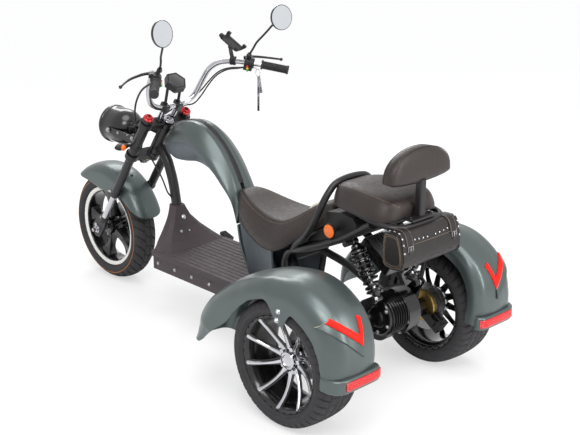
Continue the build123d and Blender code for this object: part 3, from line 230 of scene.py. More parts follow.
# Mesh building


class Shape:
    """Collects vertices and faces, then becomes one object that rides on a body."""

    def __init__(self):
        self.verts = []
        self.faces = []

    def rings(self, rings, closed=True, loop=False, caps=True):
        """Joins rings of equal count into a skin; closed rings wrap round, a loop joins its ends."""
        start = len(self.verts)
        count = len(rings[0])
        for ring in rings:
            self.verts.extend(ring)
        for i in range(len(rings) if loop else len(rings) - 1):
            j = (i + 1) % len(rings)
            for k in range(count if closed else count - 1):
                m = (k + 1) % count
                self.faces.append((start + i * count + k, start + i * count + m, start + j * count + m,
                    start + j * count + k))
        if caps and closed and not loop:
            self.faces.append(tuple(start + k for k in range(count)))
            self.faces.append(tuple(start + (len(rings) - 1) * count + k for k in range(count)))
        return self

    def lathe(self, origin, axis, profile, segments=48):
        """Turns a profile of (radius, distance along the axis) about an axis."""
        axis = axis.normalized()
        side = axis.orthogonal().normalized()
        other = axis.cross(side)
        rings = []
        for turn in around_axis(segments):
            out = side * cos(turn) + other * sin(turn)
            rings.append([origin + out * (r * MM) + axis * (w * MM) for r, w in profile])
        return self.rings(rings, closed=False, loop=True, caps=False)

    def rod(self, start, end, radius, end_radius=None, segments=20):
        """A round rod with slightly softened ends."""
        end_radius = radius if end_radius is None else end_radius
        axis = end - start
        length = axis.length / MM
        soft = min(0.12 * min(radius, end_radius), length * 0.3)
        profile = [(0.0, 0.0), (radius - soft, 0.0), (radius, soft), (end_radius, length - soft),
            (end_radius - soft, length), (0.0, length)]
        return self.lathe(start, axis, [(max(r, 0.001), w) for r, w in profile], segments)

    def tube(self, points, radius, segments=16, caps=True):
        """A round tube along points; radius is one number or one for each point."""
        radii = [radius] * len(points) if isinstance(radius, (int, float)) else radius
        rings = []
        normal = None
        for i, point in enumerate(points):
            ahead = points[min(i + 1, len(points) - 1)] - points[max(i - 1, 0)]
            ahead.normalize()
            if normal is None:
                normal = ahead.orthogonal().normalized()
            normal = (normal - ahead * normal.dot(ahead)).normalized()
            other = ahead.cross(normal)
            rings.append([point + (normal * cos(a) + other * sin(a)) * (radii[i] * MM)
                for a in around_axis(segments)])
        return self.rings(rings, caps=caps)

    def block(self, centre, right, up, out, half):
        """A box from its centre, three unit directions and three half sizes."""
        start = len(self.verts)
        x, y, z = (size * MM for size in half)
        for a in (-1, 1):
            for b in (-1, 1):
                for c in (-1, 1):
                    self.verts.append(centre + right * a * x + up * b * y + out * c * z)
        for quad in ((0, 1, 3, 2), (4, 6, 7, 5), (0, 4, 5, 1), (2, 3, 7, 6), (0, 2, 6, 4), (1, 5, 7, 3)):
            self.faces.append(tuple(start + q for q in quad))
        return self

    def bolt(self, point, out, radius, height, washer=True):
        """A hex head, on its washer."""
        out = out.normalized()
        tall = height * MM
        if washer:
            self.rod(point, point + out * tall * 0.3, radius * 1.45)
        base = point + out * tall * 0.28
        side = out.orthogonal().normalized()
        other = out.cross(side)
        return self.rings([[base + out * tall * lift * 0.72
            + (side * cos(a) + other * sin(a)) * (radius * MM) * scale for a in around_axis(6)]
            for scale, lift in ((1.0, 0.0), (1.0, 0.8), (0.86, 1.0), (0.02, 1.0))])

    def done(self, name, body, look, slot, levels=0, bevel=0.0, solid=0.0, replaces=(), angle=35):
        """Makes the object: levels smooth it, bevel and solid are metres, angle keeps edges sharp."""
        mesh = bpy.data.meshes.new(name)
        mesh.from_pydata(self.verts, [], self.faces)
        joined = bmesh.new()
        joined.from_mesh(mesh)
        bmesh.ops.remove_doubles(joined, verts=joined.verts, dist=2e-6)
        bmesh.ops.recalc_face_normals(joined, faces=joined.faces)
        joined.to_mesh(mesh)
        joined.free()
        made = bpy.data.objects.new(name, mesh)
        bpy.context.scene.collection.objects.link(made)
        mesh.materials.append(look)
        for face in mesh.polygons:
            face.use_smooth = True
        if not levels:
            mesh.set_sharp_from_angle(angle=radians(angle))
        if solid:
            wall = made.modifiers.new("wall", "SOLIDIFY")
            wall.thickness = abs(solid)
            wall.offset = -1 if solid > 0 else 1
        if bevel:
            round_off = made.modifiers.new("edges", "BEVEL")
            round_off.width = bevel
            round_off.segments = 3
            round_off.limit_method = "ANGLE"
            round_off.angle_limit = radians(40)
        if levels:
            soft = made.modifiers.new("smooth", "SUBSURF")
            soft.levels = levels
            soft.render_levels = levels
        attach(made, body)
        if replaces:
            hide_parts(*replaces)
        return made


def smooth_row(rows, steps):
    """Rows of numbers, passed through by a smooth curve with steps points to each gap."""
    made = []
    for i in range(len(rows) - 1):
        before = rows[max(i - 1, 0)]
        after = rows[min(i + 2, len(rows) - 1)]
        for t in (k / steps for k in range(steps)):
            made.append([0.5 * (2 * q + (r - p) * t + (2 * p - 5 * q + 4 * r - s) * t * t
                + (3 * q - p - 3 * r + s) * t ** 3)
                for p, q, r, s in zip(before, rows[i], rows[i + 1], after)])
    made.append(list(rows[-1]))
    return made


def smooth_points(points, steps):
    return [Vector(row) for row in smooth_row([tuple(p) for p in points], steps)]


# Camera at the photograph's view, lights, floor and backdrop
scene = bpy.context.scene
scene.view_settings.view_transform = "Standard"
camera_data = bpy.data.cameras.new("camera")
camera = bpy.data.objects.new("camera", camera_data)
scene.collection.objects.link(camera)
scene.camera = camera
camera_data.sensor_width = 36
camera_data.lens = 70.28
camera_data.shift_x = -0.0059
camera_data.shift_y = -0.0086
camera_data.clip_end = 200
CAMERA_AZIMUTH = radians(-133.936)
CAMERA_HEIGHT = radians(18.147)
CAMERA_ROLL = radians(0.127)
backward = Vector((sin(CAMERA_AZIMUTH) * cos(CAMERA_HEIGHT), -cos(CAMERA_AZIMUTH) * cos(CAMERA_HEIGHT),
    sin(CAMERA_HEIGHT)))
turn = (-backward).to_track_quat("-Z", "Y").to_matrix() @ Matrix.Rotation(CAMERA_ROLL, 3, "Z")
camera.matrix_world = Matrix.Translation(at(-2495.4, 2778.6, 1881.6)) @ turn.to_4x4()

SKY_COLOUR = (0.98, 0.99, 1.0, 1)
SKY_STRENGTH = 0.62
WHITE = (1, 1, 1, 1)
world = bpy.data.worlds.new("studio")
scene.world = world
world.use_nodes = True
sky = world.node_tree
for old in list(sky.nodes):
    sky.nodes.remove(old)
sky_out = add_node(sky, "ShaderNodeOutputWorld", (600, 0))
lit = add_node(sky, "ShaderNodeBackground", (0, 100), Color=SKY_COLOUR, Strength=SKY_STRENGTH)
seen = add_node(sky, "ShaderNodeBackground", (0, -100), Color=WHITE, Strength=1.0)
path = add_node(sky, "ShaderNodeLightPath", (-400, 300))
either = add_node(sky, "ShaderNodeMath", (-150, 350), operation="MAXIMUM")
glossy = add_node(sky, "ShaderNodeMath", (-280, 250), operation="MAXIMUM")
choose = add_node(sky, "ShaderNodeMixShader", (300, 0))
for source, socket in ((path.outputs["Is Glossy Ray"], glossy.inputs[0]),
        (path.outputs["Is Transmission Ray"], glossy.inputs[1]), (path.outputs["Is Camera Ray"],
        either.inputs[0]), (glossy.outputs["Value"], either.inputs[1]), (either.outputs["Value"],
        choose.inputs["Fac"]), (lit.outputs["Background"], choose.inputs[1]), (seen.outputs["Background"],
        choose.inputs[2]), (choose.outputs["Shader"], sky_out.inputs["Surface"])):
    sky.links.new(source, socket)

FLOOR_HALF = 40
FLOOR_Z = -0.0005
FLOOR_GLOW = 0.58
floor_mesh = bpy.data.meshes.new("floor")
floor_mesh.from_pydata([(x * FLOOR_HALF, y * FLOOR_HALF, FLOOR_Z)
    for x, y in ((-1, -1), (1, -1), (1, 1), (-1, 1))], [], [(0, 1, 2, 3)])
floor = bpy.data.objects.new("floor", floor_mesh)
scene.collection.objects.link(floor)
floor_look = bpy.data.materials.new("floor")
floor_look.use_nodes = True
ground = floor_look.node_tree
shader = ground.nodes["Principled BSDF"]
shader.inputs["Base Color"].default_value = (0.9, 0.9, 0.9, 1)
shader.inputs["Roughness"].default_value = 0.8
shader.inputs["Specular IOR Level"].default_value = 0.1
glow = add_node(ground, "ShaderNodeEmission", (0, -300), Color=WHITE, Strength=1.0)
ray = add_node(ground, "ShaderNodeLightPath", (-400, 300))
share = add_node(ground, "ShaderNodeMath", (-150, 300), operation="MULTIPLY")
share.inputs[1].default_value = FLOOR_GLOW
blend = add_node(ground, "ShaderNodeMixShader", (300, 0))
for source, socket in ((ray.outputs["Is Camera Ray"], share.inputs[0]), (share.outputs["Value"],
        blend.inputs["Fac"]), (shader.outputs["BSDF"], blend.inputs[1]), (glow.outputs["Emission"],
        blend.inputs[2]), (blend.outputs["Shader"], ground.nodes["Material Output"].inputs["Surface"])):
    ground.links.new(source, socket)
floor_mesh.materials.append(floor_look)


def lamp(name, kind, place, target, power, size, size_y=None):
    """A sun, whose size is an angle, or an area lamp of size by size_y metres."""
    data = bpy.data.lights.new(name, kind)
    data.energy = power
    if kind == "AREA":
        data.shape = "RECTANGLE"
        data.size = size
        data.size_y = size_y
    else:
        data.angle = radians(size)
    made = bpy.data.objects.new(name, data)
    scene.collection.objects.link(made)
    made.location = place
    made.rotation_euler = (Vector(target) - Vector(place)).to_track_quat("-Z", "Y").to_euler()


lamp("sun", "SUN", (-2, 1, 6), (0, 0, 0), 1.5, 40)
lamp("key", "AREA", (-2.2, 2.6, 3.4), (0, 0, 0.5), 70, 2.0, 1.4)
lamp("rim", "AREA", (2.6, -1.6, 2.8), (0, 0, 0.6), 50, 2.0, 1.2)
lamp("strip", "AREA", (-3.0, -0.6, 1.6), (-0.4, 0, 0.4), 35, 0.5, 2.2)

# Wheels
REAR_HALF_TRACK = 368
REAR_AXLE_Z = 229
FRONT_X = 1539
FRONT_AXLE_Z = 243
FRONT_HUB = at(FRONT_X, 0, FRONT_AXLE_Z)


def rear_hub(side):
    return at(0, side * REAR_HALF_TRACK, REAR_AXLE_Z)


def wheel_point(hub, side, radius, width, turn):
    """A point on a wheel from its radius, outward width and angle."""
    return hub + Vector((cos(turn) * radius, side * width, sin(turn) * radius)) * MM


def tyre_mesh(name, body, hub, side, half_profile, tread, segments, node):
    """A tyre turned from a half profile of (radius, width); tread gives a groove depth."""
    profile = smooth_row(half_profile, 3)
    rows = [(r, -w) for r, w in reversed(profile)] + profile[1:]
    Shape().rings([[wheel_point(hub, side, r - tread(turn, w, r), w, turn) for r, w in rows]
        for turn in around_axis(segments)], closed=False, loop=True, caps=False).done(name, body, RUBBER,
        "tyre", replaces=(node,), angle=50)


def rear_tread(turn, width, radius):
    """Groove depth: two lines round, 44 short cuts between them and 44 on each shoulder."""
    if radius < 206:
        return 0
    depth = 0.0
    for line in (14, 44):
        if abs(abs(width) - line) < 2.6:
            depth = 4.5
    waves = (turn / (2 * pi) * 44 + 0.012 * width) % 1
    if 18 < abs(width) < 40 and waves < 0.14:
        depth = 3.5
    if abs(width) > 50 and (waves + 0.5) % 1 < 0.16:
        depth = 5
    return depth


def front_tread(turn, width, radius):
    """Groove depth: two lines round, 34 cuts in the middle and 34 on each shoulder."""
    if radius < 219:
        return 0
    depth = 0.0
    if abs(abs(width) - 13) < 2.4:
        depth = 5
    waves = (turn / (2 * pi) * 34 + 0.02 * width) % 1
    if abs(width) < 11 and waves < 0.12:
        depth = 4
    if 16 < abs(width) and (waves + 0.3) % 1 < 0.2:
        depth = 5.5
    return depth


REAR_TYRE = [(229, 0), (228.6, 20), (227.5, 40), (225.6, 58), (222, 72), (215, 82), (206, 88), (195, 91),
    (183, 89), (174, 82), (170, 74), (163, 70)]
FRONT_TYRE = [(243, 0), (242.2, 12), (239.5, 26), (234, 38), (226, 48), (214, 56), (202, 60), (190, 57),
    (183, 50), (179, 42), (172, 38)]
for side, name in SIDES:
    hub = rear_hub(side)
    tyre_mesh(f"rear_tyre_tread_{name}", f"rear_wheel_{name}", hub, side, REAR_TYRE, rear_tread, 616,
        f"rear_tyre_{name}")
    lines = Shape()
    for radius, width in ((197, 91.2), (181, 88.6)):
        lines.lathe(hub, Vector((0, side, 0)), ((radius - 0.9, width), (radius, width + 0.8),
            (radius + 0.9, width)), 96)
    lines.done(f"rear_tyre_lines_{name}", f"rear_wheel_{name}", RUBBER, "tyre")

tyre_mesh("front_tyre_tread", "front_wheel", FRONT_HUB, 1, FRONT_TYRE, front_tread, 612, "front_tyre")
line = Shape()
for side, name in SIDES:
    line.lathe(FRONT_HUB, Vector((0, side, 0)), [(210.6, 58.2), (211.6, 59.0), (212.8, 57.9)], 128)
line.done("front_tyre_line", "front_wheel", ORANGE_LINE, "tyre")

# Rear rims: a deep gloss barrel, a polished lip and ten slim curved spokes
BARREL = [(170, 79), (166, 79), (160, 74), (156, 66), (152, 56), (150, 34), (149, 10), (148, -40),
    (150, -60), (156, -70), (160, -75), (170, -79)]
for side, name in SIDES:
    hub = rear_hub(side)
    out = Vector((0, side, 0))
    wheel = f"rear_wheel_{name}"
    barrel = Shape()
    barrel.lathe(hub, out, BARREL, 128)
    barrel.lathe(hub, out, ((170, 79), (170, 76), (159, 70), (158, 40), (158, -70), (170, -76), (170, -79)),
        96)
    barrel.lathe(hub, out, ((58, 8), (58, 0), (20, -4), (1, -4)), 64)
    barrel.done(f"rear_barrel_{name}", wheel, GLOSS_BLACK, "alloy", replaces=(f"rear_rim_{name}",))
    backs = Shape()
    spokes = Shape()
    lugs = Shape()
    for number in range(10):
        angle = radians(360 * number / 10 + 12)
        # radius, outward, sideways turn, half width, thickness
        for shape, widen, sink in ((spokes, 1.35, 0), (backs, 2.3, -5)):
            rows = smooth_row([(40, 22, 0.0, 7.2, 7), (62, 27, 0.01, 5.6, 8), (95, 38, 0.035, 4.4, 8),
                (128, 54, 0.075, 4.2, 8), (152, 69, 0.115, 5.0, 7), (163, 75, 0.135, 6.0, 5)], 5)
            rings = []
            for r, w, bend, half, thick in rows:
                ring = []
                for a, b in ((-1, -1), (-1.05, -0.1), (-0.62, 0.85), (0, 1.0), (0.62, 0.85), (1.05, -0.1),
                        (1, -1)):
                    turn = angle + bend + a * half * widen / max(r, 30)
                    ring.append(wheel_point(hub, side, r, w + sink + b * thick * 0.5, turn))
                rings.append(ring)
            shape.rings(rings)
        nut = angle + radians(18)
        if number % 2 == 0:
            start = wheel_point(hub, side, 42, 12, nut)
            lugs.bolt(start, out, 9.5, 15)
            lugs.rod(start, start + out * 3 * MM, 15)
    spokes.done(f"rear_spokes_{name}", wheel, CHROME, "alloy", bevel=0.0008)
    backs.done(f"rear_spoke_backs_{name}", wheel, GLOSS_BLACK, "alloy")
    lugs.done(f"rear_lug_nuts_{name}", wheel, CHROME, "chrome", bevel=0.0006)
    cap = Shape()
    cap.lathe(hub, out, ((56, 6), (57, 11), (54, 14), (38, 13), (34, 16), (33, 30), (30, 34), (22, 36),
        (20, 33), (12, 32), (0.1, 32)), 72)
    cap.done(f"rear_hub_cap_{name}", wheel, CHROME, "alloy")

# Front rim: gloss black with a white band inside its lip and five broad forked spokes
band = Shape()
front = Shape()
for side, name in SIDES:
    out = Vector((0, side, 0))
    band.lathe(FRONT_HUB, out, ((179, 47), (176, 47.6), (168, 46), (163, 42)), 128)
    front.lathe(FRONT_HUB, out, ((163, 42), (160, 38), (160, 20), (158, 0)), 128)
    front.lathe(FRONT_HUB, out, ((179, 47), (179, 44), (168, 38), (166, 0)), 96)
    front.lathe(FRONT_HUB, out, ((38, 0), (38, 40), (34, 49), (20, 50), (9, 50)), 64)
for number in range(5):
    angle = radians(360 * number / 5 + 78)
    rows = smooth_row([(30, 0.0, 17, 33), (58, 0.0, 14, 25), (90, 0.0, 13, 18), (118, 0.0, 15, 17),
        (140, 0.0, 22, 20), (161, 0.0, 34, 26)], 5)
    rings = []
    for r, bend, half, thick in rows:
        ring = []
        for a, b in ((-1, -0.9), (-0.8, -1), (0.8, -1), (1, -0.9), (1, 0.9), (0.8, 1), (-0.8, 1),
                (-1, 0.9)):
            turn = angle + bend + a * half / max(r, 36)
            ring.append(wheel_point(FRONT_HUB, 1, r, b * thick, turn))
        rings.append(ring)
    front.rings(rings)
front.done("front_rim_spokes", "front_wheel", GLOSS_BLACK, "black_metal", bevel=0.0015,
    replaces=("front_rim",))
band.done("front_rim_band", "front_wheel", WHITE_PAINT, "black_metal")

# Rear fenders
FENDER_CREST = [(438, 185), (428, 238), (405, 300), (360, 362), (300, 412), (235, 455), (165, 490),
    (80, 520), (-10, 537), (-70, 540), (-128, 530), (-185, 504), (-235, 466), (-268, 420), (-286, 370),
    (-292, 320), (-290, 280), (-285, 232)]
FENDER_EDGE = [(426, 170), (380, 200), (340, 236), (290, 275), (231, 318), (200, 356), (164, 396),
    (117, 433), (71, 452), (38, 461), (16, 450), (0, 418), (-17, 395), (-36, 384), (-52, 390), (-68, 420),
    (-84, 440), (-103, 434), (-145, 412), (-186, 378), (-213, 328), (-226, 273), (-229, 232)]


def edge_depth(point, inward):
    """How far from a crest point the lower edge lies, along the inward direction."""
    best = None
    for (ax, az), (bx, bz) in zip(FENDER_EDGE, FENDER_EDGE[1:]):
        dx, dz = bx - ax, bz - az
        det = inward[0] * dz - inward[1] * dx
        if abs(det) < 1e-9:
            continue
        t = ((ax - point[0]) * dz - (az - point[1]) * dx) / det
        u = ((ax - point[0]) * inward[1] - (az - point[1]) * inward[0]) / det
        if -0.001 <= u <= 1.001 and t > 0 and (best is None or t < best):
            best = t
    return best


def fender_rows(side):
    """Rings of the fender, each from the inner wall over the crown to the outer wall's edge."""
    crest = smooth_row(FENDER_CREST, 7)
    last_depth = 40.0
    rings = []
    for i, (x, z) in enumerate(crest):
        ahead = crest[min(i + 1, len(crest) - 1)]
        behind = crest[max(i - 1, 0)]
        dx, dz = ahead[0] - behind[0], ahead[1] - behind[1]
        size = hypot(dx, dz)
        inward = (-dz / size, dx / size)
        share = i / (len(crest) - 1)
        found = edge_depth((x, z), inward)
        depth = found or last_depth
        last_depth = depth
        narrow = min(1.0, 0.62 + share * 3.2)
        inner_y, outer_y = 264, 472
        taper = (1 - narrow) * 60
        corner_out = min(66, max(depth * 0.8, 12))
        corner_in = 44
        ring = []
        inner_depth = 62 if share > 0.12 else 26 + 300 * share
        for k in range(4):
            ring.append((inner_y + taper, inner_depth + (corner_in - inner_depth) * k / 4))
        for k in range(9):
            a = pi / 2 * k / 8
            ring.append((inner_y + taper + corner_in * (1 - cos(a)), corner_in * (1 - sin(a))))
        low, high = inner_y + taper + corner_in, outer_y - taper - corner_out
        for k in range(1, 12):
            ring.append((low + (high - low) * k / 12, -5 * sin(pi * k / 12)))
        for k in range(13):
            a = pi / 2 * k / 12
            ring.append((high + corner_out * sin(a), corner_out * (1 - cos(a))))
        for k in range(1, 8):
            ring.append((outer_y - taper, corner_out + (depth - corner_out) * k / 7))
        rings.append([at(x + inward[0] * d, side * y, z + inward[1] * d) for y, d in ring])
    return rings


LEDGE_PATH = smooth_row([(-228, 474), (-262, 470), (-288, 456), (-299, 432), (-301, 400), (-301, 350),
    (-300, 300), (-296, 278), (-284, 267), (-270, 264)], 5)


def ledge_rings(side, section, lowest=0, highest=REAR_HALF_TRACK * 2):
    """Rings of a section of (outward, height) along the fender's ledge, between two widths."""
    rings = []
    for i, (x, y) in enumerate(LEDGE_PATH):
        if lowest <= y <= highest:
            near = LEDGE_PATH[max(i - 1, 0)]
            far = LEDGE_PATH[min(i + 1, len(LEDGE_PATH) - 1)]
            size = hypot(far[0] - near[0], far[1] - near[1])
            nx, ny = -(far[1] - near[1]) / size, (far[0] - near[0]) / size
            rings.append([at(x + nx * o, side * (y + ny * o), z) for o, z in section])
    return rings


for side, name in SIDES:
    fender = Shape()
    fender.rings(fender_rows(side), closed=False, caps=False)
    fender.done(f"fender_skin_{name}", "chassis", PAINT, "body_paint", levels=1, solid=0.0035,
        replaces=(f"rear_fender_{name}",))
    Shape().rings(ledge_rings(side, ((18, 273), (1, 274.5), (-4, 270), (-5, 232), (-1, 226),
        (16, 226)))).done(f"fender_ledge_{name}", "chassis", PAINT, "body_paint", bevel=0.002)
    bolts = Shape()
    for x, z in ((-31, 438), (-23, 405)):
        bolts.bolt(at(x, side * 471, z), Vector((0, side, 0)), 6.5, 7)
    bolts.done(f"fender_bolts_{name}", "chassis", CHROME, "chrome", bevel=0.0004)

# Body shell: spine x and z, belly x and z, half widths at the spine, crease and belly, crease share
BODY = ((1139, 716, 1139, 704, 12, 13, 10, 0.5), (1092, 748, 1110, 678, 26, 48, 28, 0.5),
    (1039, 800, 1050, 655, 32, 64, 38, 0.48), (975, 822, 975, 659, 36, 76, 44, 0.46),
    (905, 824, 895, 672, 38, 84, 48, 0.46), (840, 800, 835, 664, 38, 86, 48, 0.48),
    (770, 747, 775, 637, 37, 82, 46, 0.55), (715, 683, 720, 598, 36, 76, 46, 0.66),
    (674, 614, 668, 553, 38, 67, 48, 0.84), (640, 535, 656, 470, 47, 50.5, 49, 0.97))
SHELL_SKIN = []
SHELL_BELLY = []
BODY_ROWS = smooth_row(BODY, 6)
for sx, sz, bx, bz, top, crease, low, share in BODY_ROWS:
    depth = hypot(bx - sx, bz - sz)
    dx, dz = (bx - sx) / depth, (bz - sz) / depth
    place = (sx, sz, dx, dz)
    fold = share * depth
    skin = smooth_row([(9, 0.2), (0.55 * top + 4, 0.4), (top, 0.025 * depth + 1),
        (0.45 * top + 0.55 * crease, 0.4 * fold), (0.1 * top + 0.9 * crease, 0.72 * fold),
        (crease, fold - 1.5)], 4)
    skin += [(crease - 0.6, fold + 0.6), (crease - 5, fold + 1.4), (9, fold + 1.4)]
    SHELL_SKIN.append((place, skin))
    rest = max(depth - fold, 1.0)
    belly = [(9, fold + 0.4), (crease - 4.5, fold + 0.5)]
    belly += smooth_row([(crease - 5, fold + 1.5), (crease - 5.5, fold + 0.3 * rest + 1.2),
        (0.45 * low + 0.55 * crease - 3.5, fold + 0.68 * rest), (low, depth - 4.5)], 4)
    belly += [(low - 1.6, depth - 1.4), (low - 5, depth), (9, depth)]
    SHELL_BELLY.append((place, belly))
for side, name in SIDES:
    for stations, part, look in ((SHELL_SKIN, "top", PAINT), (SHELL_BELLY, "belly", PANEL)):
        Shape().rings([[at(sx + dx * d, side * y, sz + dz * d) for y, d in ring]
            for (sx, sz, dx, dz), ring in stations]).done(f"shell_{part}_{name}", "chassis", look,
            "body_paint", angle=32, bevel=0.0006, replaces=once(side, "body_shell") if part == "top"
            else ())

# Pillar below the shell, with a green edge strip on each side of its front
PILLAR = smooth_row(((656, 470), (641, 395), (612, 330), (588, 286)), 5)
Shape().rings([[at(bx - 2, 0, bz)] + [at(bx - x, y, bz) for x, y in ((2, 30), (5, 42), (9, 47), (60, 49),
    (60, -49), (9, -47), (5, -42), (2, -30))] for bx, bz in PILLAR]).done("pillar", "chassis", PANEL,
    "body_paint", bevel=0.001)
for side, name in SIDES:
    Shape().rings([[at(bx + x, side * y, bz) for x, y in ((0.5, 34), (-1.5, 46), (-4, 51), (-8, 54),
        (-13, 55.5), (-17, 55), (-18, 50), (-8, 46), (-3, 38))] for bx, bz in PILLAR]).done(
        f"pillar_edge_{name}", "chassis", PAINT, "body_paint", levels=1)
    panel = Shape()
    rings = []
    for row in smooth_row(((0, 636, 608, 512), (1, 600, 560, 505), (2, 500, 480, 486), (3, 400, 400, 468),
            (4, 362, 362, 460)), 5):
        t = row[0] / 4
        ring = []
        for k in range(13):
            u = k / 12
            low_x = 582 - 220 * t
            high_x = 640 - 278 * t
            x = low_x + (high_x - low_x) * u
            z = 288 + (row[3] + 6 - 288) * u
            swell = 54.5 + 83 * t ** 1.25 + 10 * sin(pi * t) * (0.3 + 0.7 * u)
            y = swell - 10 * (1 - u) ** 2 * t
            if z > 430 and t > 0.05:
                z = min(z, 470 + 40 * (1 - t))
            ring.append(at(x, side * min(y, 138.5), z))
        rings.append(ring)
    back = []
    for k in range(13):
        u = k / 12
        back.append(at(360, side * (128 - 10 * (1 - u) ** 2), 288 + 176 * u))
    rings.append(back)
    panel.rings(rings, closed=False, caps=False)
    panel.done(f"side_panel_skin_{name}", "chassis", PANEL, "body_paint", levels=1, solid=0.003,
        replaces=once(side, "side_panels"))
    Shape().tube([at(x, side * y, z) for x, y, z in ((362, 140, 462), (400, 135, 468), (470, 116, 480),
        (540, 90, 494), (600, 66, 506))], 2.2).done(f"side_panel_gasket_{name}", "chassis", PLASTIC,
        "black_plastic")

strip = Shape()
rings = []
RIDGE_ROWS = BODY_ROWS[:-7]
for sx, sz, bx, bz, *rest in RIDGE_ROWS:
    depth = hypot(bx - sx, bz - sz)
    dx, dz = (bx - sx) / depth, (bz - sz) / depth
    rings.append([at(sx + dx * d, y, sz + dz * d) for y, d in ((-9.5, 6), (-10.5, -0.6), (-9, -2.4),
        (-5, -3.4), (0, -3.8), (5, -3.4), (9, -2.4), (10.5, -0.6), (9.5, 6))])
strip.rings(rings)
strip.rings([[at(bx, y, bz + d) for y, d in ((-9, 3), (-9, -0.5), (9, -0.5), (9, 3))]
    for sx, sz, bx, bz, *rest in BODY_ROWS])
strip.done("spine_ridge", "chassis", PLASTIC, "black_plastic", replaces=("spine_strip",))
trim = Shape()
for side, name in SIDES:
    trim.tube([at(sx, side * 10.6, sz - 0.2) for sx, sz, *rest in RIDGE_ROWS], 0.9, segments=8)
trim.done("spine_ridge_edges", "chassis", GLOSS_BLACK, "black_plastic")

# Rider seat: x, hem z, top z, half width, share of the dish
RIDER = ((660, 580, 597, 16, 0), (650, 556, 609, 40, 0), (622, 532, 613, 66, 0), (580, 508, 606, 92, 0.2),
    (520, 490, 591, 118, 0.6), (450, 474, 579, 139, 1), (390, 466, 576, 152, 1), (330, 472, 583, 158, 0.8),
    (280, 496, 606, 151, 0.4), (230, 536, 640, 134, 0.1), (180, 572, 670, 121, 0), (140, 598, 679, 110, 0),
    (116, 617, 671, 94, 0), (106, 628, 652, 70, 0))


def seat_mesh(rows, foot, shoulder, name, node):
    """A padded seat from rows of x, hem height, top height, half width and dish; gives hem and fold."""
    rings = []
    hems = []
    folds = []
    for x, low, high, half, dish in smooth_row(rows, 4):
        tall = high - low
        right = smooth_row([(0, high - 4 * dish), (0.34 * half, high - 2.5 * dish),
            (0.62 * half, high - 0.035 * tall), (shoulder * half, high - 0.16 * tall),
            (0.5 * (shoulder + 1) * half + 1, high - 0.42 * tall), (half * 0.985, high - 0.72 * tall),
            (half, low + 4), (half - 3, low - 1), (foot * half, low), (0, low + 2)], 3)
        folds.append((x, shoulder * half, high - 0.16 * tall))
        hems.append((x, half - 0.4, low + 1.5))
        left = [(-y, z) for y, z in reversed(right[1:-1])]
        rings.append([at(x, y, z) for y, z in right + left])
    made = Shape().rings(rings).done(name, "chassis", LEATHER, "seat_leather", levels=1, replaces=(node,))
    return hems, folds


def around(rows):
    """A line from the left points of a row, front to back, and back along the right."""
    return [at(x, y, z) for x, y, z in rows] + [at(x, -y, z) for x, y, z in reversed(rows)]


def piping(name, rows, radius):
    """A closed welt along the hem."""
    line = around(rows)
    Shape().tube(line + line[:1], radius, segments=8, caps=False).done(name, "chassis", PLASTIC,
        "black_plastic")


STITCH, STITCH_GAP, STITCH_LIFT, THREAD_RADIUS = 3.2, 2.2, 0.4, 0.55


def stitches(name, rows):
    """Short thread stitches along a line, one mesh for all."""
    shape = Shape()
    line = around(rows)
    go = 0.0
    for a, b in zip(line, line[1:]):
        run = b - a
        size = run.length
        if size < 1e-6:
            continue
        while go + STITCH * MM < size:
            start = a + run * (go / size)
            end = a + run * ((go + STITCH * MM) / size)
            side = Vector((0, copysign(STITCH_LIFT, start.y), STITCH_LIFT)) * MM
            shape.tube([start + side, (start + end) / 2 + side * 1.3, end + side], THREAD_RADIUS,
                segments=6)
            go += (STITCH + STITCH_GAP) * MM
        go = max(0.0, go - size)
    shape.done(name, "chassis", THREAD, "seat_leather")


hems, folds = seat_mesh(RIDER, 0.8, 0.74, "rider_seat_pad", "rider_seat")
piping("rider_seat_piping", hems[2:-1], 2.3)
stitches("rider_seat_stitches", folds[6:-8])

PASSENGER = ((112, 722, 738, 34, 0), (106, 712, 752, 66, 0), (86, 704, 766, 98, 0),
    (50, 701, 776, 122, 0.3), (0, 700, 782, 135, 0.6), (-50, 698, 782, 142, 0.8),
    (-100, 696, 779, 146, 0.8), (-140, 695, 774, 144, 0.6), (-172, 695, 764, 130, 0.3),
    (-190, 697, 748, 106, 0), (-197, 706, 732, 72, 0))
hems, folds = seat_mesh(PASSENGER, 0.72, 0.8, "passenger_seat_pad", "passenger_seat")
piping("passenger_seat_piping", hems[2:-2], 2.2)
stitches("passenger_seat_stitches", [(x, y * 0.97, z + 3) for x, y, z in folds[4:-4]])


# Backrest: half moon outline, crowned to the front and the back
def moon(shrink):
    """Outline of the pad over y and z, shrunk by so many millimetres."""
    steps = 18
    half = 153 - shrink
    tip = 836 + 0.35 * shrink
    crest = 938 - shrink
    foot = 818 + 0.6 * shrink
    points = []
    for k in range(steps + 1):
        a = pi * k / steps
        points.append((-half * cos(a), tip + (crest - tip) * sin(a) ** 0.82))
    for k in range(1, steps):
        a = pi * k / steps
        points.append((half * cos(a), tip + (foot - tip) * sin(a)))
    return points


